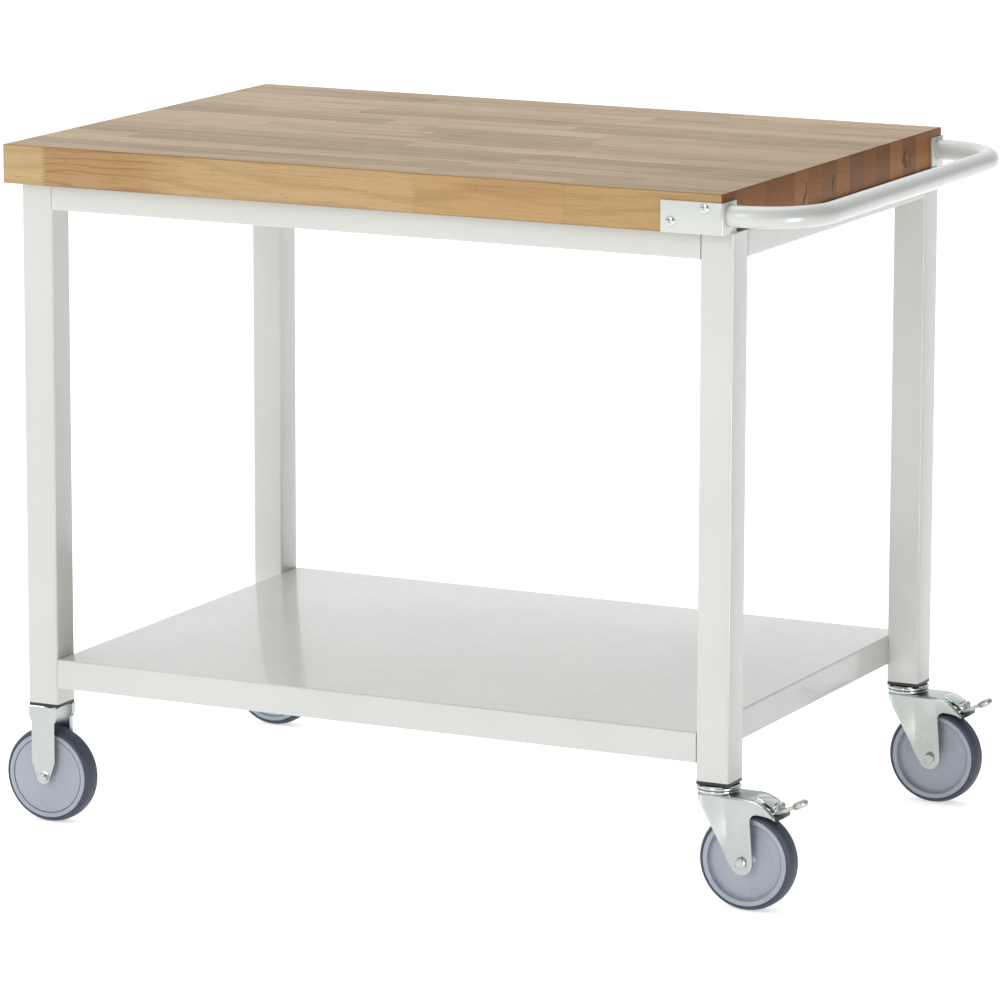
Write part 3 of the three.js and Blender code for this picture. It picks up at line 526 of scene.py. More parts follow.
def loft(rings, cap=True):
    """Joins rings of equal length into one skin, with a face across each end."""
    bm, rows = skin(rings)
    if cap:
        bm.faces.new(rows[0])
        bm.faces.new(rows[-1])
    return closed(bm)


def laid(outline, height, across):
    """An outline as points in space. across names the axes that its x and y lie along."""
    place = {
        "XY": lambda x, y: (x, y, height),
        "XZ": lambda x, y: (x, height, y),
        "YZ": lambda x, y: (height, x, y),
    }[across]
    return [place(x, y) for x, y in outline]


def prism(outline, low, high, across="XY"):
    """A flat outline carried from low to high."""
    return loft([laid(outline, low, across), laid(outline, high, across)])


def lathe(profile, steps=72, axis="Z", centre=(0, 0, 0)):
    """A closed profile of (radius, height) pairs turned round an axis through centre."""
    bm = bmesh.new()
    rows = []
    for k in range(steps):
        cos, sin = math.cos(2 * math.pi * k / steps), math.sin(2 * math.pi * k / steps)
        row = []
        for r, h in profile:
            point = (r * cos, r * sin, h) if axis == "Z" else (r * cos, h, r * sin)
            row.append(bm.verts.new(Vector(point) + Vector(centre)))
        rows.append(row)
    count = len(profile)
    for k in range(steps):
        here, there = rows[k], rows[(k + 1) % steps]
        for i in range(count):
            j = (i + 1) % count
            if profile[i][0] < 1e-6 and profile[j][0] < 1e-6:
                continue
            bm.faces.new((here[i], here[j], there[j], there[i]))
    bmesh.ops.remove_doubles(bm, verts=bm.verts, dist=1e-4)
    bmesh.ops.dissolve_degenerate(bm, edges=bm.edges, dist=1e-5)
    bmesh.ops.recalc_face_normals(bm, faces=bm.faces)
    return bm


def rod(radius, low, high, centre=(0, 0), axis="Y", steps=32):
    """A plain cylinder for cutting holes and for pins."""
    where = (centre[0], 0, centre[1]) if axis == "Y" else (centre[0], centre[1], 0)
    return lathe([(0, low), (radius, low), (radius, high), (0, high)], steps, axis, where)


def block(x0, x1, y0, y1, z0, z1):
    return prism([(x0, y0), (x1, y0), (x1, y1), (x0, y1)], z0, z1)


def as_object(bm, name="part"):
    mesh = bpy.data.meshes.new(name)
    bm.to_mesh(mesh)
    bm.free()
    made = bpy.data.objects.new(name, mesh)
    bpy.context.scene.collection.objects.link(made)
    return made


def as_bmesh(made):
    """The object's mesh with its modifiers applied. The object is removed."""
    graph = bpy.context.evaluated_depsgraph_get()
    mesh = bpy.data.meshes.new_from_object(made.evaluated_get(graph))
    bm = bmesh.new()
    bm.from_mesh(mesh)
    bpy.data.meshes.remove(mesh)
    drop(made)
    return bm


def drop(made):
    mesh = made.data
    bpy.data.objects.remove(made)
    bpy.data.meshes.remove(mesh)


def joined(first, second, how):
    """UNION, DIFFERENCE or INTERSECT of two closed meshes."""
    a, b = as_object(first), as_object(second)
    cut = a.modifiers.new("cut", "BOOLEAN")
    cut.operation = how
    cut.solver = "EXACT"
    cut.object = b
    made = as_bmesh(a)
    drop(b)
    bmesh.ops.dissolve_degenerate(made, edges=made.edges, dist=1e-4)
    return made


def drilled(bm, *cutter, **settings):
    """Takes a rod out of a mesh. The rod is given as rod() takes it."""
    return joined(bm, rod(*cutter, **settings), "DIFFERENCE")


def eased(bm, width, angle=35, segments=2):
    """Breaks the sharp edges of a mesh with a small round."""
    made = as_object(bm)
    round_edges = made.modifiers.new("eased", "BEVEL")
    round_edges.width = width
    round_edges.segments = segments
    round_edges.limit_method = "ANGLE"
    round_edges.angle_limit = math.radians(angle)
    round_edges.use_clamp_overlap = True
    return as_bmesh(made)


def moved(bm, x=0.0, y=0.0, z=0.0):
    bmesh.ops.translate(bm, verts=bm.verts, vec=(x, y, z))
    return bm


def packed_mesh(node_name):
    """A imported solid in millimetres, with its doubles merged and its flat faces whole."""
    bm = bmesh.new()
    bm.from_mesh(frame["nodes"][node_name].data)
    bmesh.ops.scale(bm, verts=bm.verts, vec=(1 / MM, 1 / MM, 1 / MM))
    bmesh.ops.remove_doubles(bm, verts=bm.verts, dist=1e-3)
    bmesh.ops.dissolve_limit(bm, angle_limit=0.02, verts=bm.verts, edges=bm.edges)
    return bm


def outermost(low, high, sign):
    """The higher of two values where sign is positive, otherwise the lower."""
    return high if sign > 0 else low


def finished(name, bm, finish, nodes=(), body=None, sharp=32, crease=None):
    """Turns a mesh in millimetres into a piece: metres, finish, smooth shading, body and replaced nodes.

    crease tells which places lie on a fold that stays sharp however slight its angle is.
    """
    bmesh.ops.scale(bm, verts=bm.verts, vec=(MM, MM, MM))
    made = as_object(bm, name)
    for polygon in made.data.polygons:
        polygon.use_smooth = True
    made.data.set_sharp_from_angle(angle=math.radians(sharp))
    if crease:
        folded = [crease(vertex.co / MM) for vertex in made.data.vertices]
        for edge in made.data.edges:
            if folded[edge.vertices[0]] and folded[edge.vertices[1]]:
                edge.use_edge_sharp = True
    made.data.materials.clear()
    made.data.materials.append(FINISHES[finish])
    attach(made, body or rides_on[nodes[0]])
    if nodes:
        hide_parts(*nodes)
    return made


# ---------------------------------------------------------------- worktop


def stave_ends(row, left, right, random_source):
    """Where the staves of one row meet, from left to right."""
    if row == 0:
        return [left + first_joint, left + second_joint, left + third_joint]
    ends = []
    at = left + random_source.uniform(90, 480)
    while at < right - 70:
        ends.append(at)
        at += random_source.uniform(190, 520)
    return ends


def worktop():
    """The block as one closed skin whose faces know the staves on both sides of the nearest joint."""
    low, high = box("worktop")
    draw = random.Random(7)
    rows = round((high.y - low.y) / top_row)
    ends = [stave_ends(row, low.x, high.x, draw) for row in range(rows)]
    cuts = [sorted([low.x, high.x] + [(a + b) / 2 for a, b in zip(e, e[1:])]) for e in ends]
    xs = sorted({round(x, 3) for row in cuts for x in row})
    ys = [low.y + top_row * k for k in range(rows)] + [high.y]
    zs = [low.z, high.z]
    bm = bmesh.new()
    layers = {key: bm.faces.layers.float.new(key) for key in ("stave", "next_stave", "joint", "fingers")}
    corner = {}

    def vertex(*point):
        key = tuple(round(v, 3) for v in point)
        if key not in corner:
            corner[key] = bm.verts.new(key)
        return corner[key]

    def face(points, x, y, fingers):
        row = min(int((y - low.y) / top_row), rows - 1)
        span = sum(1 for cut in cuts[row][1:-1] if cut < x)
        made = bm.faces.new([vertex(*point) for point in points])
        made[layers["stave"]] = row * 10 + span + 1
        made[layers["next_stave"]] = row * 10 + span + 2
        made[layers["joint"]] = ends[row][span] * MM
        made[layers["fingers"]] = fingers

    for x0, x1 in zip(xs, xs[1:]):
        mid = (x0 + x1) / 2
        for y0, y1 in zip(ys, ys[1:]):
            for z in zs:
                face([(x0, y0, z), (x1, y0, z), (x1, y1, z), (x0, y1, z)], mid, (y0 + y1) / 2, 0)
        for y in (ys[0], ys[-1]):
            face([(x0, y, zs[0]), (x1, y, zs[0]), (x1, y, zs[1]), (x0, y, zs[1])], mid, y, 1)
    for y0, y1 in zip(ys, ys[1:]):
        for x in (xs[0], xs[-1]):
            face([(x, y0, zs[0]), (x, y1, zs[0]), (x, y1, zs[1]), (x, y0, zs[1])], x, (y0 + y1) / 2, 0)
    bmesh.ops.recalc_face_normals(bm, faces=bm.faces)
    bm = eased(bm, top_easing, 60, 3)
    return finished("butcher_block", bm, "beech", ["worktop"])


# ---------------------------------------------------------------- frame


def rounded_rectangle(x0, x1, y0, y1, radius, steps=5):
    return fillet([(x0, y0), (x1, y0), (x1, y1), (x0, y1)], radius, steps)


def square_tube(node_name, along, corner, plated=False):
    """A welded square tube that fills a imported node's box, open at its ends or plated over on top."""
    low, high = box(node_name)
    first, second = [axis for axis in (0, 1, 2) if axis != along]
    across = {2: "XY", 1: "XZ", 0: "YZ"}[along]
    sides = (low[first], high[first], low[second], high[second])
    inner = [sides[0] + tube_wall, sides[1] - tube_wall, sides[2] + tube_wall, sides[3] - tube_wall]
    outer = rounded_rectangle(*sides, corner)
    bore = rounded_rectangle(*inner, corner - tube_wall + 0.3)
    start, end = low[along], high[along]
    bore_end = end - tube_wall if plated else end
    rings = [laid(bore, bore_end, across), laid(bore, start, across)]
    rings += [laid(outer, start, across), laid(outer, end, across)]
    bm = loft(rings) if plated else loft(rings + rings[:1], cap=False)
    return finished(node_name + "_tube", bm, "powder_coat", [node_name])


def frame_tubes():
    for corner in LEFT + RIGHT:
        square_tube(f"leg_{corner}", 2, leg_corner, plated=True)
    for side in ("front", "rear"):
        square_tube(f"rail_{side}", 0, rail_corner)
    for side in ("left", "right"):
        square_tube(f"rail_{side}", 1, rail_corner)


def shelf_tray():
    """The folded shelf: rings from under its upper face, round bend, flange and lip, and back over it."""
    low, high = box("shelf_tray")
    centre = (low + high) / 2

    def ring(inset, height):
        x, y = (high.x - low.x) / 2 - inset, (high.y - low.y) / 2 - inset
        return [(centre.x + a * x, centre.y + b * y, height) for a, b in ((-1, -1), (1, -1), (1, 1), (-1, 1))]

    def folded(inset, bottom, top, bend):
        rings = [ring(inset, bottom)]
        for k in range(7):
            angle = k / 6 * math.pi / 2
            rings.append(ring(inset + bend * (1 - math.cos(angle)), top - bend * (1 - math.sin(angle))))
        return rings

    outside = folded(0, low.z, high.z, shelf_bend)
    inner_bend = shelf_bend - shelf_sheet
    inside = folded(shelf_sheet, low.z + shelf_sheet, high.z - shelf_sheet, inner_bend)
    lip = [ring(shelf_lip, low.z + shelf_sheet), ring(shelf_lip, low.z)]
    bm = loft(inside[::-1] + lip + outside)
    return finished("folded_shelf", bm, "powder_coat", ["shelf_tray"])


def shelf_channel():
    """The hat channel under the shelf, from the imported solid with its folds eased."""
    channel = eased(packed_mesh("shelf_stiffener"), 0.5)
    return finished("shelf_channel", channel, "powder_coat", ["shelf_stiffener"])


# ---------------------------------------------------------------- push handle


def handle_tube():
    """A round tube swept along two straight arms, two bends and the grip."""
    low, high = box("push_handle")
    radius = (high.z - low.z) / 2
    height = (low.z + high.z) / 2
    grip = high.x - radius
    arm = high.y - radius
    stops = [(low.x, -arm)]
    stops += arc((grip - handle_bend, -arm + handle_bend), handle_bend, -math.pi / 2, 0, 20)
    stops += arc((grip - handle_bend, arm - handle_bend), handle_bend, 0, math.pi / 2, 20)
    stops += [(low.x, arm)]
    rings = []
    for k, (x, y) in enumerate(stops):
        before = Vector(stops[max(k - 1, 0)])
        after = Vector(stops[min(k + 1, len(stops) - 1)])
        along = (after - before).normalized()
        ring = []
        for i in range(36):
            angle = 2 * math.pi * i / 36
            out = radius * math.cos(angle)
            ring.append((x + along.y * out, y - along.x * out, height + radius * math.sin(angle)))
        rings.append(ring)
    return finished("handle_tube", loft(rings), "powder_coat", ["push_handle"])


def handle_bracket(side, sign):
    """The angle plate round a corner of the worktop, with a rounded fold and eased edges."""
    name = f"handle_bracket_{side}"
    low, high = box(name)
    top_low, top_high = box("worktop")
    outer = outermost(low.y, high.y, sign)
    inner = outermost(top_low.y, top_high.y, sign)
    free = outermost(low.y, high.y, -sign)
    outline = [
        (low.x, inner),
        (low.x, outer),
        (high.x, outer),
        (high.x, free),
        (top_high.x, free),
        (top_high.x, inner),
    ]
    fold = fillet(outline, [0, 0, bracket_bend, 0, 0, 0], 8)
    bm = eased(prism(fold, top_low.z + bracket_lift, high.z), 0.5, 50)
    return finished(f"bracket_plate_{side}", bm, "powder_coat", [name])


def pan_head_screw():
    """A cross-recess pan head whose flat underside lies on z = 0, used as the pattern for every screw."""
    dome = [(0, screw_dome)]
    for angle in (0.2, 0.45, 0.7, 0.95, 1.2, 1.4, 1.5):
        dome.append((screw_head * math.sin(angle), screw_dome * math.cos(angle) ** 0.6))
    head = lathe([(0, 0), (screw_head - 0.3, 0), (screw_head, 0.5)] + dome[::-1], 40)
    wide, long = 0.75, 3.4
    for turn in (0, math.pi / 2):
        slot_cut = block(-long, long, -wide, wide, screw_dome - 1.5, screw_dome + 1)
        bmesh.ops.rotate(slot_cut, verts=slot_cut.verts, matrix=Matrix.Rotation(turn, 3, "Z"))
        for vert in slot_cut.verts:
            if vert.co.z < screw_dome:
                vert.co.x *= 0.62
                vert.co.y *= 0.62
        head = joined(head, slot_cut, "DIFFERENCE")
    return head


# ---------------------------------------------------------------- geometry nodes


def new_tree(name, inputs):
    """A geometry tree with its Geometry sockets and the named inputs."""
    tree = bpy.data.node_groups.new(name, "GeometryNodeTree")
    tree.interface.new_socket("Geometry", in_out="INPUT", socket_type="NodeSocketGeometry")
    for label, kind in inputs:
        tree.interface.new_socket(label, in_out="INPUT", socket_type=kind)
    tree.interface.new_socket("Geometry", in_out="OUTPUT", socket_type="NodeSocketGeometry")
    entry = node(tree, "NodeGroupInput")
    leave = node(tree, "NodeGroupOutput")
    return tree, entry.outputs, leave.inputs


def last_steps(tree, geometry, material, leave):
    real = node(tree, "GeometryNodeRealizeInstances", {0: geometry})
    coated = node(tree, "GeometryNodeSetMaterial", {"Geometry": real.outputs[0], "Material": material})
    tree.links.new(coated.outputs[0], leave[0])


def screw_pattern_tree():
    """Sets one screw on every vertex, standing out along one direction, each turned by chance."""
    inputs = [
        ("Screw", "NodeSocketObject"),
        ("Facing", "NodeSocketVector"),
        ("Turn seed", "NodeSocketInt"),
        ("Finish", "NodeSocketMaterial"),
    ]
    tree, entry, leave = new_tree("screws on points", inputs)
    screw = node(tree, "GeometryNodeObjectInfo", {"Object": entry["Screw"]})
    stand = node(tree, "FunctionNodeAlignRotationToVector", {"Vector": entry["Facing"]}, axis="Z")
    turn = node(tree, "FunctionNodeRandomValue", data_type="FLOAT")
    turn.inputs[3].default_value = math.pi / 2
    tree.links.new(entry["Turn seed"], turn.inputs["Seed"])
    spin = node(tree, "FunctionNodeAxisAngleToRotation", {"Axis": (0, 0, 1), "Angle": turn.outputs[1]})
    whole = node(
        tree,
        "FunctionNodeRotateRotation",
        {"Rotation": stand.outputs[0], "Rotate By": spin.outputs[0]},
        rotation_space="LOCAL",
    )
    seats = node(
        tree,
        "GeometryNodeInstanceOnPoints",
        {"Points": entry["Geometry"], "Instance": screw.outputs["Geometry"], "Rotation": whole.outputs[0]},
    )
    last_steps(tree, seats.outputs[0], entry["Finish"], leave)
    return tree


def weld_bead_tree():
    """Lays overlapping flattened drops along the edges of the input, as a weld bead's ripples."""
    inputs = [
        ("Ripple", "NodeSocketFloat"),
        ("Radius", "NodeSocketFloat"),
        ("Seed", "NodeSocketInt"),
        ("Finish", "NodeSocketMaterial"),
    ]
    tree, entry, leave = new_tree("weld bead", inputs)
    path = node(tree, "GeometryNodeMeshToCurve", {0: entry["Geometry"]})
    steps = node(
        tree,
        "GeometryNodeResampleCurve",
        {"Curve": path.outputs[0], "Length": entry["Ripple"]},
        mode="LENGTH",
    )
    points = node(tree, "GeometryNodeCurveToPoints", {"Curve": steps.outputs[0]}, mode="EVALUATED")
    drop_sockets = {"Segments": 10, "Rings": 6, "Radius": entry["Radius"]}
    drop_mesh = node(tree, "GeometryNodeMeshUVSphere", drop_sockets)
    size = node(
        tree,
        "FunctionNodeRandomValue",
        {"Min": (0.88, 0.88, 0.5), "Max": (1.1, 1.1, 0.62), "Seed": entry["Seed"]},
        data_type="FLOAT_VECTOR",
    )
    drops = node(
        tree,
        "GeometryNodeInstanceOnPoints",
        {
            "Points": points.outputs["Points"],
            "Instance": drop_mesh.outputs["Mesh"],
            "Rotation": points.outputs["Rotation"],
            "Scale": size.outputs["Value"],
        },
    )
    last_steps(tree, drops.outputs[0], entry["Finish"], leave)
    return tree


def ball_ring_tree():
    """A ring of balls with the flat cage between them."""
    inputs = [
        ("Balls", "NodeSocketInt"),
        ("Circle", "NodeSocketFloat"),
        ("Ball radius", "NodeSocketFloat"),
        ("Finish", "NodeSocketMaterial"),
    ]
    tree, entry, leave = new_tree("ball ring", inputs)
    circle_sockets = {"Vertices": entry["Balls"], "Radius": entry["Circle"]}
    circle = node(tree, "GeometryNodeMeshCircle", circle_sockets)
    ball_sockets = {"Segments": 20, "Rings": 12, "Radius": entry["Ball radius"]}
    ball = node(tree, "GeometryNodeMeshUVSphere", ball_sockets)
    balls = node(
        tree,
        "GeometryNodeInstanceOnPoints",
        {"Points": circle.outputs[0], "Instance": ball.outputs["Mesh"]},
    )
    all_parts = node(tree, "GeometryNodeJoinGeometry")
    tree.links.new(balls.outputs[0], all_parts.inputs[0])
    tree.links.new(entry["Geometry"], all_parts.inputs[0])
    last_steps(tree, all_parts.outputs[0], entry["Finish"], leave)
    return tree


def grown(bm, tree, values):
    """Runs a geometry tree on a mesh and returns the result as a plain mesh."""
    made = as_object(bm)
    modifier = made.modifiers.new("grown", "NODES")
    modifier.node_group = tree
    for item in tree.interface.items_tree:
        if item.in_out == "INPUT" and item.name in values:
            modifier[item.identifier] = values[item.name]
    return as_bmesh(made)


# ---------------------------------------------------------------- screws, beads and ball rings


def bracket_screw_heads():
    """Two screws on the long face of each bracket."""
    tree = screw_pattern_tree()
    pattern = as_object(pan_head_screw(), "screw_pattern")
    top_high = box("worktop")[1]
    for side, sign in (("front", -1), ("rear", 1)):
        low, high = box(f"handle_bracket_{side}")
        face = outermost(low.y, high.y, sign)
        seats = bmesh.new()
        for away, down in bracket_screws:
            seats.verts.new((top_high.x - away, face, top_high.z - down))
        values = {
            "Screw": pattern,
            "Facing": (0.0, float(sign), 0.0),
            "Turn seed": 3 + sign,
            "Finish": FINISHES["bright_zinc"],
        }
        heads = grown(seats, tree, values)
        finished(f"bracket_screws_{side}", heads, "bright_zinc", body="frame")
    drop(pattern)


def weld_beads():
    """Beads where shelf, rails and bracket plates meet the legs, and round the handle's two ends."""
    tree = weld_bead_tree()
    shelf_low, shelf_high = box("shelf_tray")
    paths = bmesh.new()

    def bead(start, end):
        paths.edges.new([paths.verts.new(start), paths.verts.new(end)])

    for corner in LEFT + RIGHT:
        low, high = box(f"leg_{corner}")
        out_x = 1 if corner in RIGHT else -1
        out_y = 1 if "rear" in corner else -1
        inner_x = outermost(low.x, high.x, -out_x)
        inner_y = outermost(low.y, high.y, -out_y)
        bead((inner_x, inner_y, shelf_low.z + 1), (inner_x, inner_y, shelf_high.z - 3))
        cross_low, cross_high = box("rail_right" if out_x > 0 else "rail_left")
        long_low, long_high = box("rail_rear" if out_y > 0 else "rail_front")
        cross_x = outermost(cross_low.x, cross_high.x, -out_x)
        long_y = outermost(long_low.y, long_high.y, -out_y)
        bead((cross_x, inner_y, cross_low.z + 2), (cross_x, inner_y, cross_high.z - 1))
        bead((cross_low.x + 2, inner_y, cross_low.z), (cross_high.x - 3, inner_y, cross_low.z))
        bead((inner_x, long_y, long_low.z + 2), (inner_x, long_y, long_high.z - 1))
        bead((inner_x, long_low.y + 3, long_low.z), (inner_x, long_high.y - 3, long_low.z))
    for side in ("front", "rear"):
        plate_low, plate_high = box(f"handle_bracket_{side}")
        leg_low, leg_high = box(f"leg_{side}_right")
        start, end = max(plate_low.y, leg_low.y) + 2, min(plate_high.y, leg_high.y) - 2
        bead_x, bead_z = plate_high.x + bead_stand, leg_high.z + bead_stand
        bead((bead_x, start, bead_z), (bead_x, end, bead_z))
    coat = FINISHES["powder_coat"]
    values = {"Ripple": weld_ripple, "Radius": frame_bead, "Seed": 11, "Finish": coat}
    finished("frame_weld_beads", grown(paths, tree, values), "powder_coat", body="frame", sharp=80)

    handle_low, handle_high = box("push_handle")
    radius = (handle_high.z - handle_low.z) / 2
    arm, height = handle_high.y - radius, (handle_low.z + handle_high.z) / 2
    rings = bmesh.new()
    for side in (-1, 1):
        around = arc((side * arm, height), radius + bead_stand, 0, 2 * math.pi, 48)[:-1]
        verts = [rings.verts.new((handle_low.x + 0.6, y, z)) for y, z in around]
        for k in range(len(verts)):
            rings.edges.new([verts[k - 1], verts[k]])
    values["Radius"] = handle_bead
    finished("handle_weld_beads", grown(rings, tree, values), "powder_coat", body="frame", sharp=80)


def ball_cages(bearing_height):
    """The balls between the races of each swivel, in their flat cage."""
    tree = ball_ring_tree()
    for corner in RIGHT:
        centre = middle(f"leg_{corner}")
        inner, outer = ball_circle - cage_half_width, ball_circle + cage_half_width
        half = cage_half_height
        cage = lathe([(inner, -half), (outer, -half), (outer, half), (inner, half)], 64)
        values = {
            "Balls": ball_count,
            "Circle": ball_circle,
            "Ball radius": ball_radius,
            "Finish": FINISHES["bright_zinc"],
        }
        ring = moved(grown(cage, tree, values), centre.x, centre.y, bearing_height)
        finished(f"ball_ring_{corner}", ring, "bright_zinc", [f"bearing_ball_cage_{corner}"])


# ---------------------------------------------------------------- plugs, stems and bearings


def leg_plug(corner):
    """The moulded plug in the foot of a leg: flange, round collar and the part up inside the tube."""
    low, high = box(f"leg_plug_{corner}")
    half = (high.x - low.x) / 2
    centre = (low + high) / 2
    top = box(f"leg_{corner}")[0].z
    flange = prism(rounded_rectangle(-half, half, -half, half, leg_corner), top - plug_flange, top)
    reach = half - tube_wall - seat_gap
    insert = rounded_rectangle(-reach, reach, -reach, reach, plug_insert_corner)
    insert = prism(insert, top - 0.5, high.z)
    collar = rod(plug_collar, low.z, top - plug_flange + 0.5, (0, 0), "Z", 64)
    body = joined(joined(flange, insert, "UNION"), collar, "UNION")
    body = drilled(body, stem_radius + seat_gap, low.z - 5, high.z + 5, (0, 0), "Z", 40)
    body = moved(body, centre.x, centre.y)
    finished(f"foot_plug_{corner}", body, "black_plastic", [f"leg_plug_{corner}"])


def castor_stem(corner):
    low, high = box(f"castor_stem_{corner}")
    centre, radius = (low + high) / 2, (high.x - low.x) / 2
    profile = [
        (0, low.z),
        (radius - 2, low.z),
        (radius, low.z + stem_head - 1),
        (radius, low.z + stem_head),
        (stem_radius, low.z + stem_head),
        (stem_radius, high.z - 1.5),
        (stem_radius - 1.5, high.z),
        (0, high.z),
    ]
    body = lathe(profile, 48, "Z", (centre.x, centre.y, 0))
    finished(f"stem_{corner}", body, "zinc_plate", [f"castor_stem_{corner}"])


def groove(face, ball_height, opens):
    """The ball track in a race's face. opens: 1 where it opens upwards, -1 downwards."""
    radius = ball_radius + seat_gap
    start = math.asin(abs(face - ball_height) / radius)
    track = []
    for k in range(11):
        angle = start + (math.pi - 2 * start) * k / 10
        fall = opens * radius * math.sin(angle)
        track.append((ball_circle - radius * math.cos(angle), ball_height - fall))
    return track


def bearing_races(corner, ball_height):
    bore = stem_radius + seat_gap
    for which, opens in (("top", -1), ("lower", 1)):
        name = f"bearing_{which}_race_{corner}"
        low, high = box(name)
        radius, centre = (high.x - low.x) / 2, (low + high) / 2
        face, back = (high.z, low.z) if opens > 0 else (low.z, high.z)
        section = [
            (radius, face),
            (radius, back + opens * race_step),
            (radius - race_slope, back),
            (bore, back),
            (bore, face),
        ]
        outline = fillet(section, [2.1, 2.4, 1.4, 0, 0], 6)
        track = groove(face, ball_height, opens)
        body = lathe(outline + track, 96, "Z", (centre.x, centre.y, 0))
        finished(f"{which}_race_{corner}", body, "bright_zinc", [name])


# ---------------------------------------------------------------- wheels


def mirrored_profile(side):
    """A wheel's section from its outer face's points to the same points on its inner face."""
    return side + [(r, -h) for r, h in side[::-1]]


def tyre(corner):
    low, high = box(f"tyre_{corner}")
    centre, radius = (low + high) / 2, (high.z - low.z) / 2
    inner = core_radius + seat_gap
    side = [
        (inner, tyre_half_width),
        (radius - tyre_flank, tyre_half_width),
        (radius - tyre_flank * 0.36, tyre_half_width - tyre_flank),
        (radius, tyre_band),
    ]
    profile = fillet(mirrored_profile(side), [0, 1.6, 6, 12, 12, 6, 1.6, 0], 6)
    finished(f"tread_{corner}", lathe(profile, 128, "Y", centre), "grey_tread", [f"tyre_{corner}"])


def wheel_core(corner, dished):
    """The moulded centre: rim ring, groove, disc or bowl, and hub."""
    centre = middle(f"tyre_{corner}")
    bore = sleeve_radius + seat_gap
    rim = core_radius - rim_width
    if dished:
        face = [
            (hub_radius + 3, disc_half_width),
            (dish_radius - 1.4, dish_half_width + dish_step),
            (dish_radius, dish_half_width),
            (rim - 3.4, dish_half_width),
            (rim - 3.0, dish_half_width - dish_step),
            (rim - 0.5, dish_half_width - dish_step),
        ]
        radii = [2.5, 0.5, 0.5, 0.4, 0.5, 0.5]
    else:
        face = [
            (hub_radius, flush_half_width),
            (rim - 1.0, flush_half_width),
            (rim - 0.7, disc_half_width - 1),
            (rim + 0.1, disc_half_width - 1),
        ]
        radii = [1.0, 0.3, 0.2, 0.2]
    side = [(bore, hub_half_width), (hub_radius - 0.4, hub_half_width), *face]
    side += [(rim, core_half_width), (core_radius, core_half_width)]
    radii = [0.4, 0.8, *radii, 0.9, 0.7]
    profile = fillet(mirrored_profile(side), radii + radii[::-1], 4)
    body = lathe(profile, 128, "Y", centre)
    finished(f"core_{corner}", body, "grey_plastic", [f"wheel_core_{corner}"])


def hexagon(radius, x, z):
    """Six corners, the first of which points along X."""
    angles = [k * math.pi / 3 for k in range(6)]
    return [(x + radius * math.cos(a), z + radius * math.sin(a)) for a in angles]


def hex_body(node_name, head_low, head_high, outer_sign):
    """A hexagon between two heights along Y, with its outer corners turned off by a cone."""
    low, high = box(node_name)
    centre, radius = (low + high) / 2, (high.z - low.z) / 2
    tall = (high.x - low.x) < (high.z - low.z)
    corners = hexagon(radius, 0, 0)
    if tall:
        corners = [(-z, x) for x, z in corners]
    corners = [(centre.x + x, centre.z + z) for x, z in corners]
    body = prism(corners, head_low, head_high, "XZ")
    outer, inner = (head_high, head_low) if outer_sign > 0 else (head_low, head_high)
    cone = lathe(
        [
            (0, inner - outer_sign),
            (radius + 2, inner - outer_sign),
            (radius + 2, outer - outer_sign * head_chamfer),
            (radius * 0.74, outer),
            (0, outer),
        ],
        64,
        "Y",
        (centre.x, 0, centre.z),
    )
    return joined(body, cone, "INTERSECT"), centre


def axle_parts(corner, outer_sign):
    """Bolt, nut and distance sleeve. outer_sign: the way the bolt's head faces along Y."""
    fork = "swivel_fork" if corner in RIGHT else "fixed_fork"
    fork_low, fork_high = box(f"{fork}_{corner}")
    bolt_low, bolt_high = box(f"axle_bolt_{corner}")
    face = outermost(fork_low.y, fork_high.y, outer_sign) + outer_sign * seat_gap
    head_end = outermost(bolt_low.y, bolt_high.y, outer_sign)
    head_low, head_high = sorted((face, head_end))
    head, centre = hex_body(f"axle_bolt_{corner}", head_low, head_high, outer_sign)
    tail = outermost(bolt_low.y, bolt_high.y, -outer_sign)
    shank_low, shank_high = sorted((tail, face + outer_sign))
    shank = rod(axle_radius, shank_low, shank_high, (centre.x, centre.z))
    bolt = joined(head, shank, "UNION")
    finished(f"bolt_{corner}", bolt, "zinc_plate", [f"axle_bolt_{corner}"])

    nut_low, nut_high = box(f"axle_nut_{corner}")
    near, far = (nut_high.y, nut_low.y) if outer_sign > 0 else (nut_low.y, nut_high.y)
    hex_low, hex_high = sorted((near, near + (far - near) * nut_hexagon))
    nut, centre = hex_body(f"axle_nut_{corner}", hex_low, hex_high, -outer_sign)
    radius = (nut_high.z - nut_low.z) / 2 * 0.8
    collar_profile = fillet([(0, near), (radius, near), (radius, far), (0, far)], [0, 0, 1.2, 0], 4)
    nut = joined(nut, lathe(collar_profile, 48, "Y", (centre.x, 0, centre.z)), "UNION")
    nut = drilled(nut, axle_radius + seat_gap, nut_low.y - 2, nut_high.y + 2, (centre.x, centre.z))
    finished(f"nut_{corner}", nut, "bright_zinc", [f"axle_nut_{corner}"])

    low, high = box(f"axle_sleeve_{corner}")
    outer, inner = (high.z - low.z) / 2, axle_radius + seat_gap
    section = [(inner, low.y), (outer, low.y), (outer, high.y), (inner, high.y)]
    sleeve = lathe(section, 40, "Y", (centre.x, 0, centre.z))
    finished(f"sleeve_{corner}", sleeve, "zinc_plate", [f"axle_sleeve_{corner}"])


# ---------------------------------------------------------------- fixed forks


def quadratic(start, control, end, steps=6):
    """Points on a curve from start to end that bends towards control. The first is left out."""

    def at(t, a, b, c):
        return (1 - t) ** 2 * a + 2 * t * (1 - t) * b + t * t * c

    shares = [k / steps for k in range(1, steps + 1)]
    return [tuple(at(t, *abc) for abc in zip(start, control, end)) for t in shares]


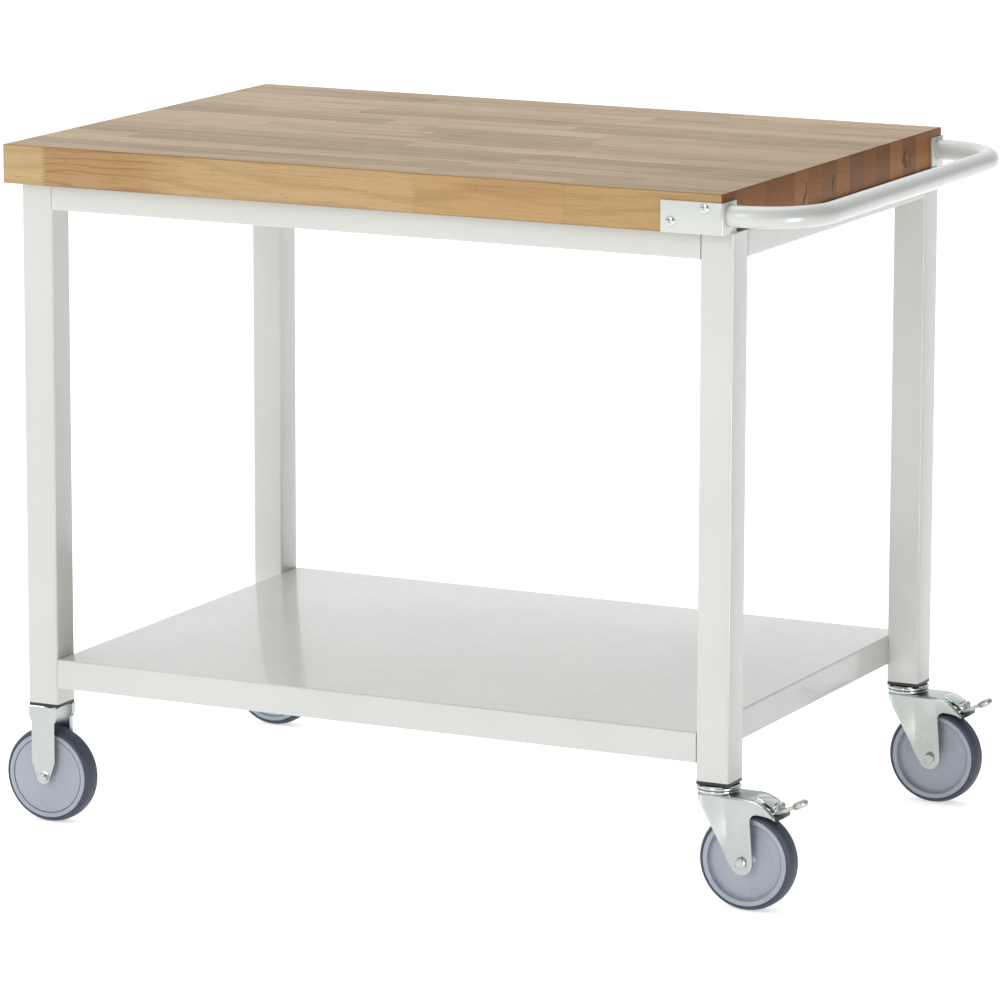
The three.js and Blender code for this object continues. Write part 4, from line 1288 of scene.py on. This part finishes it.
def fixed_fork_outline(inset, top_height, axle_height):
    """The pressed fork seen along Y: wide head, straight cheeks and a round foot round the axle."""
    top = fixed_fork_top / 2 - inset
    width = fixed_fork_width / 2 - inset
    eye = fixed_fork_eye - inset
    neck = top_height - 15
    taper = axle_height + 20
    points = [(top, top_height - inset), (-top, top_height - inset), (-top, neck + 3)]
    points += quadratic((-top, neck + 3), (-top + 0.5, neck - 3), (-width, neck - 5))
    points += [(-width, taper)]
    points += arc((0, axle_height), eye, math.pi * 1.11, math.pi * 1.89, 20)
    points += [(width, taper), (width, neck - 5)]
    points += quadratic((width, neck - 5), (top - 0.5, neck - 3), (top, neck + 3))
    return points


def pressed_block(outline_at, low, high, edge, steps=5):
    """An outline carried along Y whose two ends are drawn in with a round of radius edge."""
    sections = []
    for end, sign in ((low, -1), (high, 1)):
        span = range(steps + 1) if sign < 0 else range(steps, -1, -1)
        for k in span:
            angle = k / steps * math.pi / 2
            y = end - sign * edge * (1 - math.sin(angle))
            sections.append((y, edge * (1 - math.sin(angle))))
    sections.sort()
    return loft([[(x, y, z) for x, z in outline_at(inset)] for y, inset in sections])


def fixed_fork(corner):
    """One sheet pressed into a fork: two cheeks with turned-in edges and a flat head."""
    low, high = box(f"fixed_fork_{corner}")
    centre = (low + high) / 2
    half = (high.y - low.y) / 2
    axle = middle(f"tyre_{corner}").z

    def outline(inset):
        return fixed_fork_outline(inset, high.z, axle)

    outside = pressed_block(outline, -half, half, fixed_fork_edge)
    inside = prism(outline(fork_sheet), -half + fork_sheet, half - fork_sheet, "XZ")
    gap = half - fixed_fork_flange
    mouth = block(-40, 40, -gap, gap, 0, high.z - fork_sheet)
    body = joined(joined(outside, inside, "DIFFERENCE"), mouth, "DIFFERENCE")
    body = drilled(body, axle_radius + seat_gap, -half - 1, half + 1, (0, axle))
    body = drilled(body, stem_radius + seat_gap, 0, high.z + 1, (0, 0), "Z")
    body = moved(body, centre.x, centre.y)
    finished(f"pressed_fork_{corner}", body, "zinc_plate", [f"fixed_fork_{corner}"], sharp=40)


# ---------------------------------------------------------------- swivel forks


class SwivelPlaces:
    """The heights and reaches of one swivel castor, about its own axis."""

    def __init__(self, corner):
        self.corner = corner
        self.axis = middle(f"leg_{corner}")
        low, high = box(f"swivel_fork_{corner}")
        wheel = middle(f"tyre_{corner}")
        pin = middle(f"brake_pin_{corner}")
        self.top = high.z
        self.nose = self.axis.x - low.x
        self.tail = high.x - self.axis.x
        self.half = (high.y - low.y) / 2
        self.trail = wheel.x - self.axis.x
        self.axle = wheel.z
        self.arch = high.z - arch_drop
        self.pin_x = pin.x - self.axis.x
        self.pin_z = pin.z

    def roof(self, x, inset=0.0):
        """Upper face of the fork along X: level round the bearing, then an arc down over the wheel."""
        fall = min(max(x - hood_start, 0), 0.9 * hood_radius)
        return self.top - hood_radius + math.sqrt((hood_radius - inset) ** 2 - fall**2)

    def put(self, bm):
        return moved(bm, self.axis.x, self.axis.y)


def fork_plan(at, inset):
    """Half of the fork from above: round nose, then straight out to the fold and back to the tail."""
    centre = nose_radius - at.nose
    points = arc((centre, 0), nose_radius - inset, math.pi, math.pi * 0.53, 14)
    fold = (fold_reach, at.half - inset)
    flare = (fold_reach - flare_length, fold[1] - flare_rise)
    points += [flare, fold]
    length = at.tail + overrun - hood_start
    return points + [(hood_start + length * k / 12, at.half - inset) for k in range(13)]


def fork_block(at, inset, low, rounded):
    """The pressed shell as a solid block. rounded: with bends round its upper edge, wide on the nose."""
    bends = [nose_shoulder] * 12 + [5.2, 4.6, 4.0, 3.5] + [fork_shoulder] * 14
    level = fork_plan(at, inset)

    def ring(angle):
        half = []
        for i, bend in enumerate(bends[: len(level)]):
            x, y = fork_plan(at, inset + bend * (1 - math.cos(angle)))[i]
            half.append((x, y, at.roof(x, inset) - bend * (1 - math.sin(angle))))
        return half

    halves = [[(x, y, low) for x, y in level]]
    if rounded:
        halves += [ring(k / 6 * math.pi / 2) for k in range(7)]
    else:
        halves.append([(x, y, at.roof(x, inset)) for x, y in level])
    return loft_band([[(x, -y, z) for x, y, z in half] + half[:0:-1] for half in halves])


def loft_band(rings):
    """As loft, for rings that mirror about y = 0: each end is closed by strips from side to side."""
    bm, rows = skin(rings)
    count = len(rows[0])
    for row in (rows[0], rows[-1]):
        bm.faces.new((row[0], row[1], row[-1]))
        for i in range(1, (count - 1) // 2):
            bm.faces.new((row[i], row[i + 1], row[-i - 1], row[-i]))
    return closed(bm)


def fork_side(at):
    """The fork from its side: sloping front edge, round eye, upright rear edge, arch and tail."""
    start = Vector((-at.nose - 2, at.top + lead_rise))
    eye = Vector((at.trail, at.axle))
    lean = math.atan2(eye.y - start.y, eye.x - start.x) - math.asin(fork_eye / (eye - start).length)
    tail, arch = at.tail, at.arch
    points = [(start.x, at.top + 5), tuple(start)]
    points += arc(eye, fork_eye, lean - math.pi / 2, 0.08, 24)
    points += arc((arch_front + arch_radius, arch - arch_radius), arch_radius, math.pi, math.pi / 2, 10)
    bow = ((arch_front + tail) / 2 + 6, arch - 0.5)
    points += quadratic(points[-1], bow, (tail - 5, arch - 3.4), 8)
    points += [(tail - 1.5, arch - 4.8), (tail, arch - 3), (tail + 4, at.top + 5)]
    return points


def swivel_fork(at):
    """The folded fork: round nose under the bearing, two cheeks down to the axle, tail over the wheel."""
    low = at.axle - fork_eye - 8
    hollow = fork_block(at, fork_sheet, low - 10, False)
    shell = joined(fork_block(at, 0, low, True), hollow, "DIFFERENCE")
    body = joined(shell, prism(fork_side(at), -at.half - 5, at.half + 5, "XZ"), "INTERSECT")
    gap = at.half - fork_sheet - 1
    slot = block(hood_end, at.tail + overrun, -gap, gap, at.arch - 20, at.top + overrun)
    body = joined(body, slot, "DIFFERENCE")
    body = drilled(body, axle_radius + seat_gap, -at.half - 1, at.half + 1, (at.trail, at.axle))
    body = drilled(body, stem_radius + seat_gap, 0, at.top + overrun, (0, 0), "Z")
    body = at.put(eased(body, 0.35, 50))
    fold = at.axis.x + fold_reach
    name = f"folded_fork_{at.corner}"

    def on_fold(place):
        return abs(place.x - fold) < 0.2 and place.z < at.top - fork_shoulder + 0.1

    finished(name, body, "zinc_plate", [f"swivel_fork_{at.corner}"], sharp=40, crease=on_fold)


# ---------------------------------------------------------------- brakes


def brake_plate(at):
    """The strip on the tail's roof, with two eyes for the brake pin."""
    low, high = box(f"brake_plate_{at.corner}")
    start, width = low.x - at.axis.x, (high.y - low.y) / 2
    end = at.pin_x - 2
    xs = [start + (end - start) * k / 14 for k in range(15)]
    under = [(x, at.roof(x) + seat_gap) for x in xs if x < hood_end - 1]
    under += [(x, at.roof(x) + seat_gap - strip_sink) for x in xs if x > hood_end + 1]
    over = [(x, at.roof(x, -brake_sheet) + seat_gap) for x in xs]
    strip = prism(under + over[::-1], -width, width, "XZ")
    body = joined(strip, rod(brake_eye, -width, width, (at.pin_x, at.pin_z), steps=40), "UNION")
    between_ears = width - brake_ear
    body = drilled(body, brake_eye + 1, -between_ears, between_ears, (at.pin_x, at.pin_z), steps=40)
    body = drilled(body, pin_radius + seat_gap, -width - 1, width + 1, (at.pin_x, at.pin_z))
    body = at.put(eased(body, 0.4, 50))
    finished(f"brake_strip_{at.corner}", body, "bright_zinc", [f"brake_plate_{at.corner}"])


def brake_pin(at):
    low, high = box(f"brake_pin_{at.corner}")
    half = (high.y - low.y) / 2
    head, edge = (high.z - low.z) / 2, 1.4
    side = [(0, half), (head - 0.8, half), (head, half - 0.6), (head, half - edge), (pin_radius, half - edge)]
    profile = mirrored_profile(side)
    body = lathe(profile, 40, "Y", (at.pin_x, 0, at.pin_z))
    finished(f"hinge_pin_{at.corner}", at.put(body), "bright_zinc", [f"brake_pin_{at.corner}"])


def brake_pedal(at):
    """A barrel on the pin, a bent tongue and its thick round foot pad."""
    elbow = Vector((at.pin_x + 6, at.pin_z - 7))
    pad = Vector((at.pin_x + pedal_pad_reach, at.pin_z + pedal_pad_rise))
    slope = math.atan2(pad.y - elbow.y, pad.x - elbow.x)
    cos, sin = math.cos(slope), math.sin(slope)
    rise = Vector((-pedal_sheet * sin, pedal_sheet * cos))
    side = [
        (at.pin_x - 2.5, at.pin_z - 2),
        (elbow.x - 4.5, elbow.y - 0.5),
        tuple(elbow),
        tuple(pad),
        tuple(pad + rise),
        tuple(elbow + rise + Vector((1.5, 1))),
        (at.pin_x + 4, at.pin_z),
    ]
    side = fillet(side, [0, 1.5, 2.5, 0, 0, 3, 1], 5)
    neck = pedal_arm * 0.62
    plan = [(at.pin_x - 4, -pedal_arm), (elbow.x + 6, -pedal_arm)]
    plan += quadratic(plan[-1], (pad.x - 12, -neck), (pad.x, -neck), 8)
    plan += [(x, -y) for x, y in plan[::-1]]
    tongue = joined(
        prism(side, -pedal_arm - 1, pedal_arm + 1, "XZ"),
        prism(plan, at.pin_z - 40, at.pin_z + 40),
        "INTERSECT",
    )
    half = pad_thickness / 2
    disc = fillet([(0, -half), (pad_radius, -half), (pad_radius, half), (0, half)], [0, 4.2, 4.2, 0], 8)
    disc = lathe(disc, 48)
    bmesh.ops.rotate(disc, verts=disc.verts, matrix=Matrix.Rotation(-slope, 3, "Y"))
    moved(disc, pad.x + rise.x / 2, 0, pad.y + rise.y / 2)
    plate_low, plate_high = box(f"brake_plate_{at.corner}")
    barrel_half = (plate_high.y - plate_low.y) / 2 - brake_ear - seat_gap
    barrel = rod(brake_eye - 0.5, -barrel_half, barrel_half, (at.pin_x, at.pin_z), steps=40)
    body = joined(joined(barrel, tongue, "UNION"), disc, "UNION")
    body = drilled(body, pin_radius + seat_gap, -barrel_half - 1, barrel_half + 1, (at.pin_x, at.pin_z))
    body = at.put(eased(body, 0.35, 50))
    finished(f"pedal_{at.corner}", body, "pedal_zinc", [f"brake_pedal_{at.corner}"])


def brake_shoe(corner):
    """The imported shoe, cut off short behind its pin, with its edges eased."""
    name = f"brake_shoe_{corner}"
    bm = packed_mesh(name)
    low, high = box(name)
    end = middle(f"brake_pin_{corner}").x + shoe_reach
    kept = block(low.x - 1, end, low.y - 1, high.y + 1, low.z - 1, high.z + 1)
    bm = joined(bm, kept, "INTERSECT")
    finished(f"shoe_{corner}", eased(bm, 0.4, 30), "black_plastic", [name])


# ---------------------------------------------------------------- the object


def build():
    worktop()
    frame_tubes()
    shelf_tray()
    shelf_channel()
    handle_tube()
    handle_bracket("front", -1)
    handle_bracket("rear", 1)
    bracket_screw_heads()
    weld_beads()
    for corner in LEFT + RIGHT:
        leg_plug(corner)
        castor_stem(corner)
        tyre(corner)
        wheel_core(corner, corner in RIGHT)
        axle_parts(corner, -1 if corner in RIGHT else 1)
    for corner in LEFT:
        fixed_fork(corner)
    ball_height = middle(f"bearing_ball_cage_{RIGHT[0]}").z
    ball_cages(ball_height)
    for corner in RIGHT:
        at = SwivelPlaces(corner)
        bearing_races(corner, ball_height)
        swivel_fork(at)
        brake_plate(at)
        brake_pin(at)
        brake_pedal(at)
        brake_shoe(corner)


# ---------------------------------------------------------------- floor, light and camera


def floor():
    material, tree, shader, place = new_finish("pale floor")
    shade = noise(tree, place, 0.7, 2.0)
    tone = blend(tree, between(tree, shade, 0.3, 0.7), rgb(246, 246, 246), rgb(250, 250, 250))
    feed(tree, shader, {"Base Color": tone, "Roughness": 0.9, "Specular IOR Level": 0.2})
    feed(tree, shader, {"Emission Color": (1.0, 1.0, 1.0, 1.0), "Emission Strength": 0.56})
    made = as_object(block(-40000, 40000, -40000, 40000, -20, 0), "studio_floor")
    made.data.transform(Matrix.Scale(MM, 4))
    made.data.materials.append(material)


def soft_light(name, place, target, size, power, colour=(1.0, 1.0, 1.0)):
    """A rectangular lamp that faces target."""
    lamp = bpy.data.lights.new(name, "AREA")
    lamp.shape = "RECTANGLE"
    lamp.size, lamp.size_y = size
    lamp.energy = power
    lamp.color = colour
    made = bpy.data.objects.new(name, lamp)
    made.location = place
    made.rotation_euler = (Vector(target) - Vector(place)).to_track_quat("-Z", "Y").to_euler()
    bpy.context.scene.collection.objects.link(made)
    return made


def studio():
    world = bpy.data.worlds.new("studio")
    bpy.context.scene.world = world
    world.use_nodes = True
    tree = world.node_tree
    direction = node(tree, "ShaderNodeTexCoord").outputs["Generated"]
    here = node(tree, "ShaderNodeSeparateXYZ", {0: direction}).outputs
    right = between(tree, here["X"], -0.2, 0.85, 1.0, 0.17)
    front = between(tree, here["Y"], -1.0, -0.2, 0.72, 1.0)
    height = maths(tree, "ABSOLUTE", minus(tree, here["Z"], 0.08))
    band = between(tree, height, 0.02, 0.16, 0.3, 0.0)
    band = times(tree, band, between(tree, here["Y"], -0.1, 0.3, 1.0, 0.0))
    level = times(tree, times(tree, right, front), minus(tree, 1.07, band))
    background = tree.nodes["Background"]
    background.inputs["Color"].default_value = (0.98, 0.99, 1.0, 1.0)
    tree.links.new(level, background.inputs["Strength"])
    centre = (0.0, 0.0, 0.5)
    soft_light("key", (-0.5, -5.0, 2.6), centre, (1.4, 2.2), 60)
    soft_light("overhead", (-0.2, 0.8, 4.2), centre, (2.6, 2.6), 38, (0.93, 0.97, 1.0))
    for side, y in (("front", -0.328), ("rear", 0.284)):
        place, target = (0.21, y - 0.048, 0.075), (0.455, y, 0.075)
        glint = soft_light(f"fold glint {side}", place, target, (0.1, 0.145), 0.034)
        glint.visible_camera = glint.visible_diffuse = False
    place, target = (0.0, 0.0, 0.79), (0.0, 0.001, 0.0)
    fill = soft_light("shelf fill", place, target, (0.8, 0.5), 0.84, (0.78, 0.9, 1.0))
    fill.visible_camera = fill.visible_glossy = False
    strip = soft_light("corner strip", (1.49, -0.81, 0.38), (0.0, -0.1, 0.38), (0.4, 0.75), 10)
    strip.visible_camera = strip.visible_diffuse = False
    bpy.context.scene.view_settings.view_transform = "Standard"


def camera():
    """A long lens from the front right, a little above the worktop."""
    place = Vector((3.2723, -6.6867, 1.8805))
    yaw, pitch, roll = math.radians(26.15), math.radians(-11.13), math.radians(0.14)
    forward = Vector((-math.sin(yaw) * math.cos(pitch), math.cos(yaw) * math.cos(pitch), math.sin(pitch)))
    right = Vector((math.cos(yaw), math.sin(yaw), 0.0))
    up = right.cross(forward)
    level = math.cos(roll) * right + math.sin(roll) * up
    upright = math.cos(roll) * up - math.sin(roll) * right
    view = bpy.data.cameras.new("camera")
    view.lens = 210.4
    view.sensor_width = 36.0
    made = bpy.data.objects.new("camera", view)
    turn = Matrix((level, upright, -forward)).transposed().to_4x4()
    made.matrix_world = Matrix.Translation(place) @ turn
    bpy.context.scene.collection.objects.link(made)
    bpy.context.scene.camera = made


camera()
build()
floor()
studio()
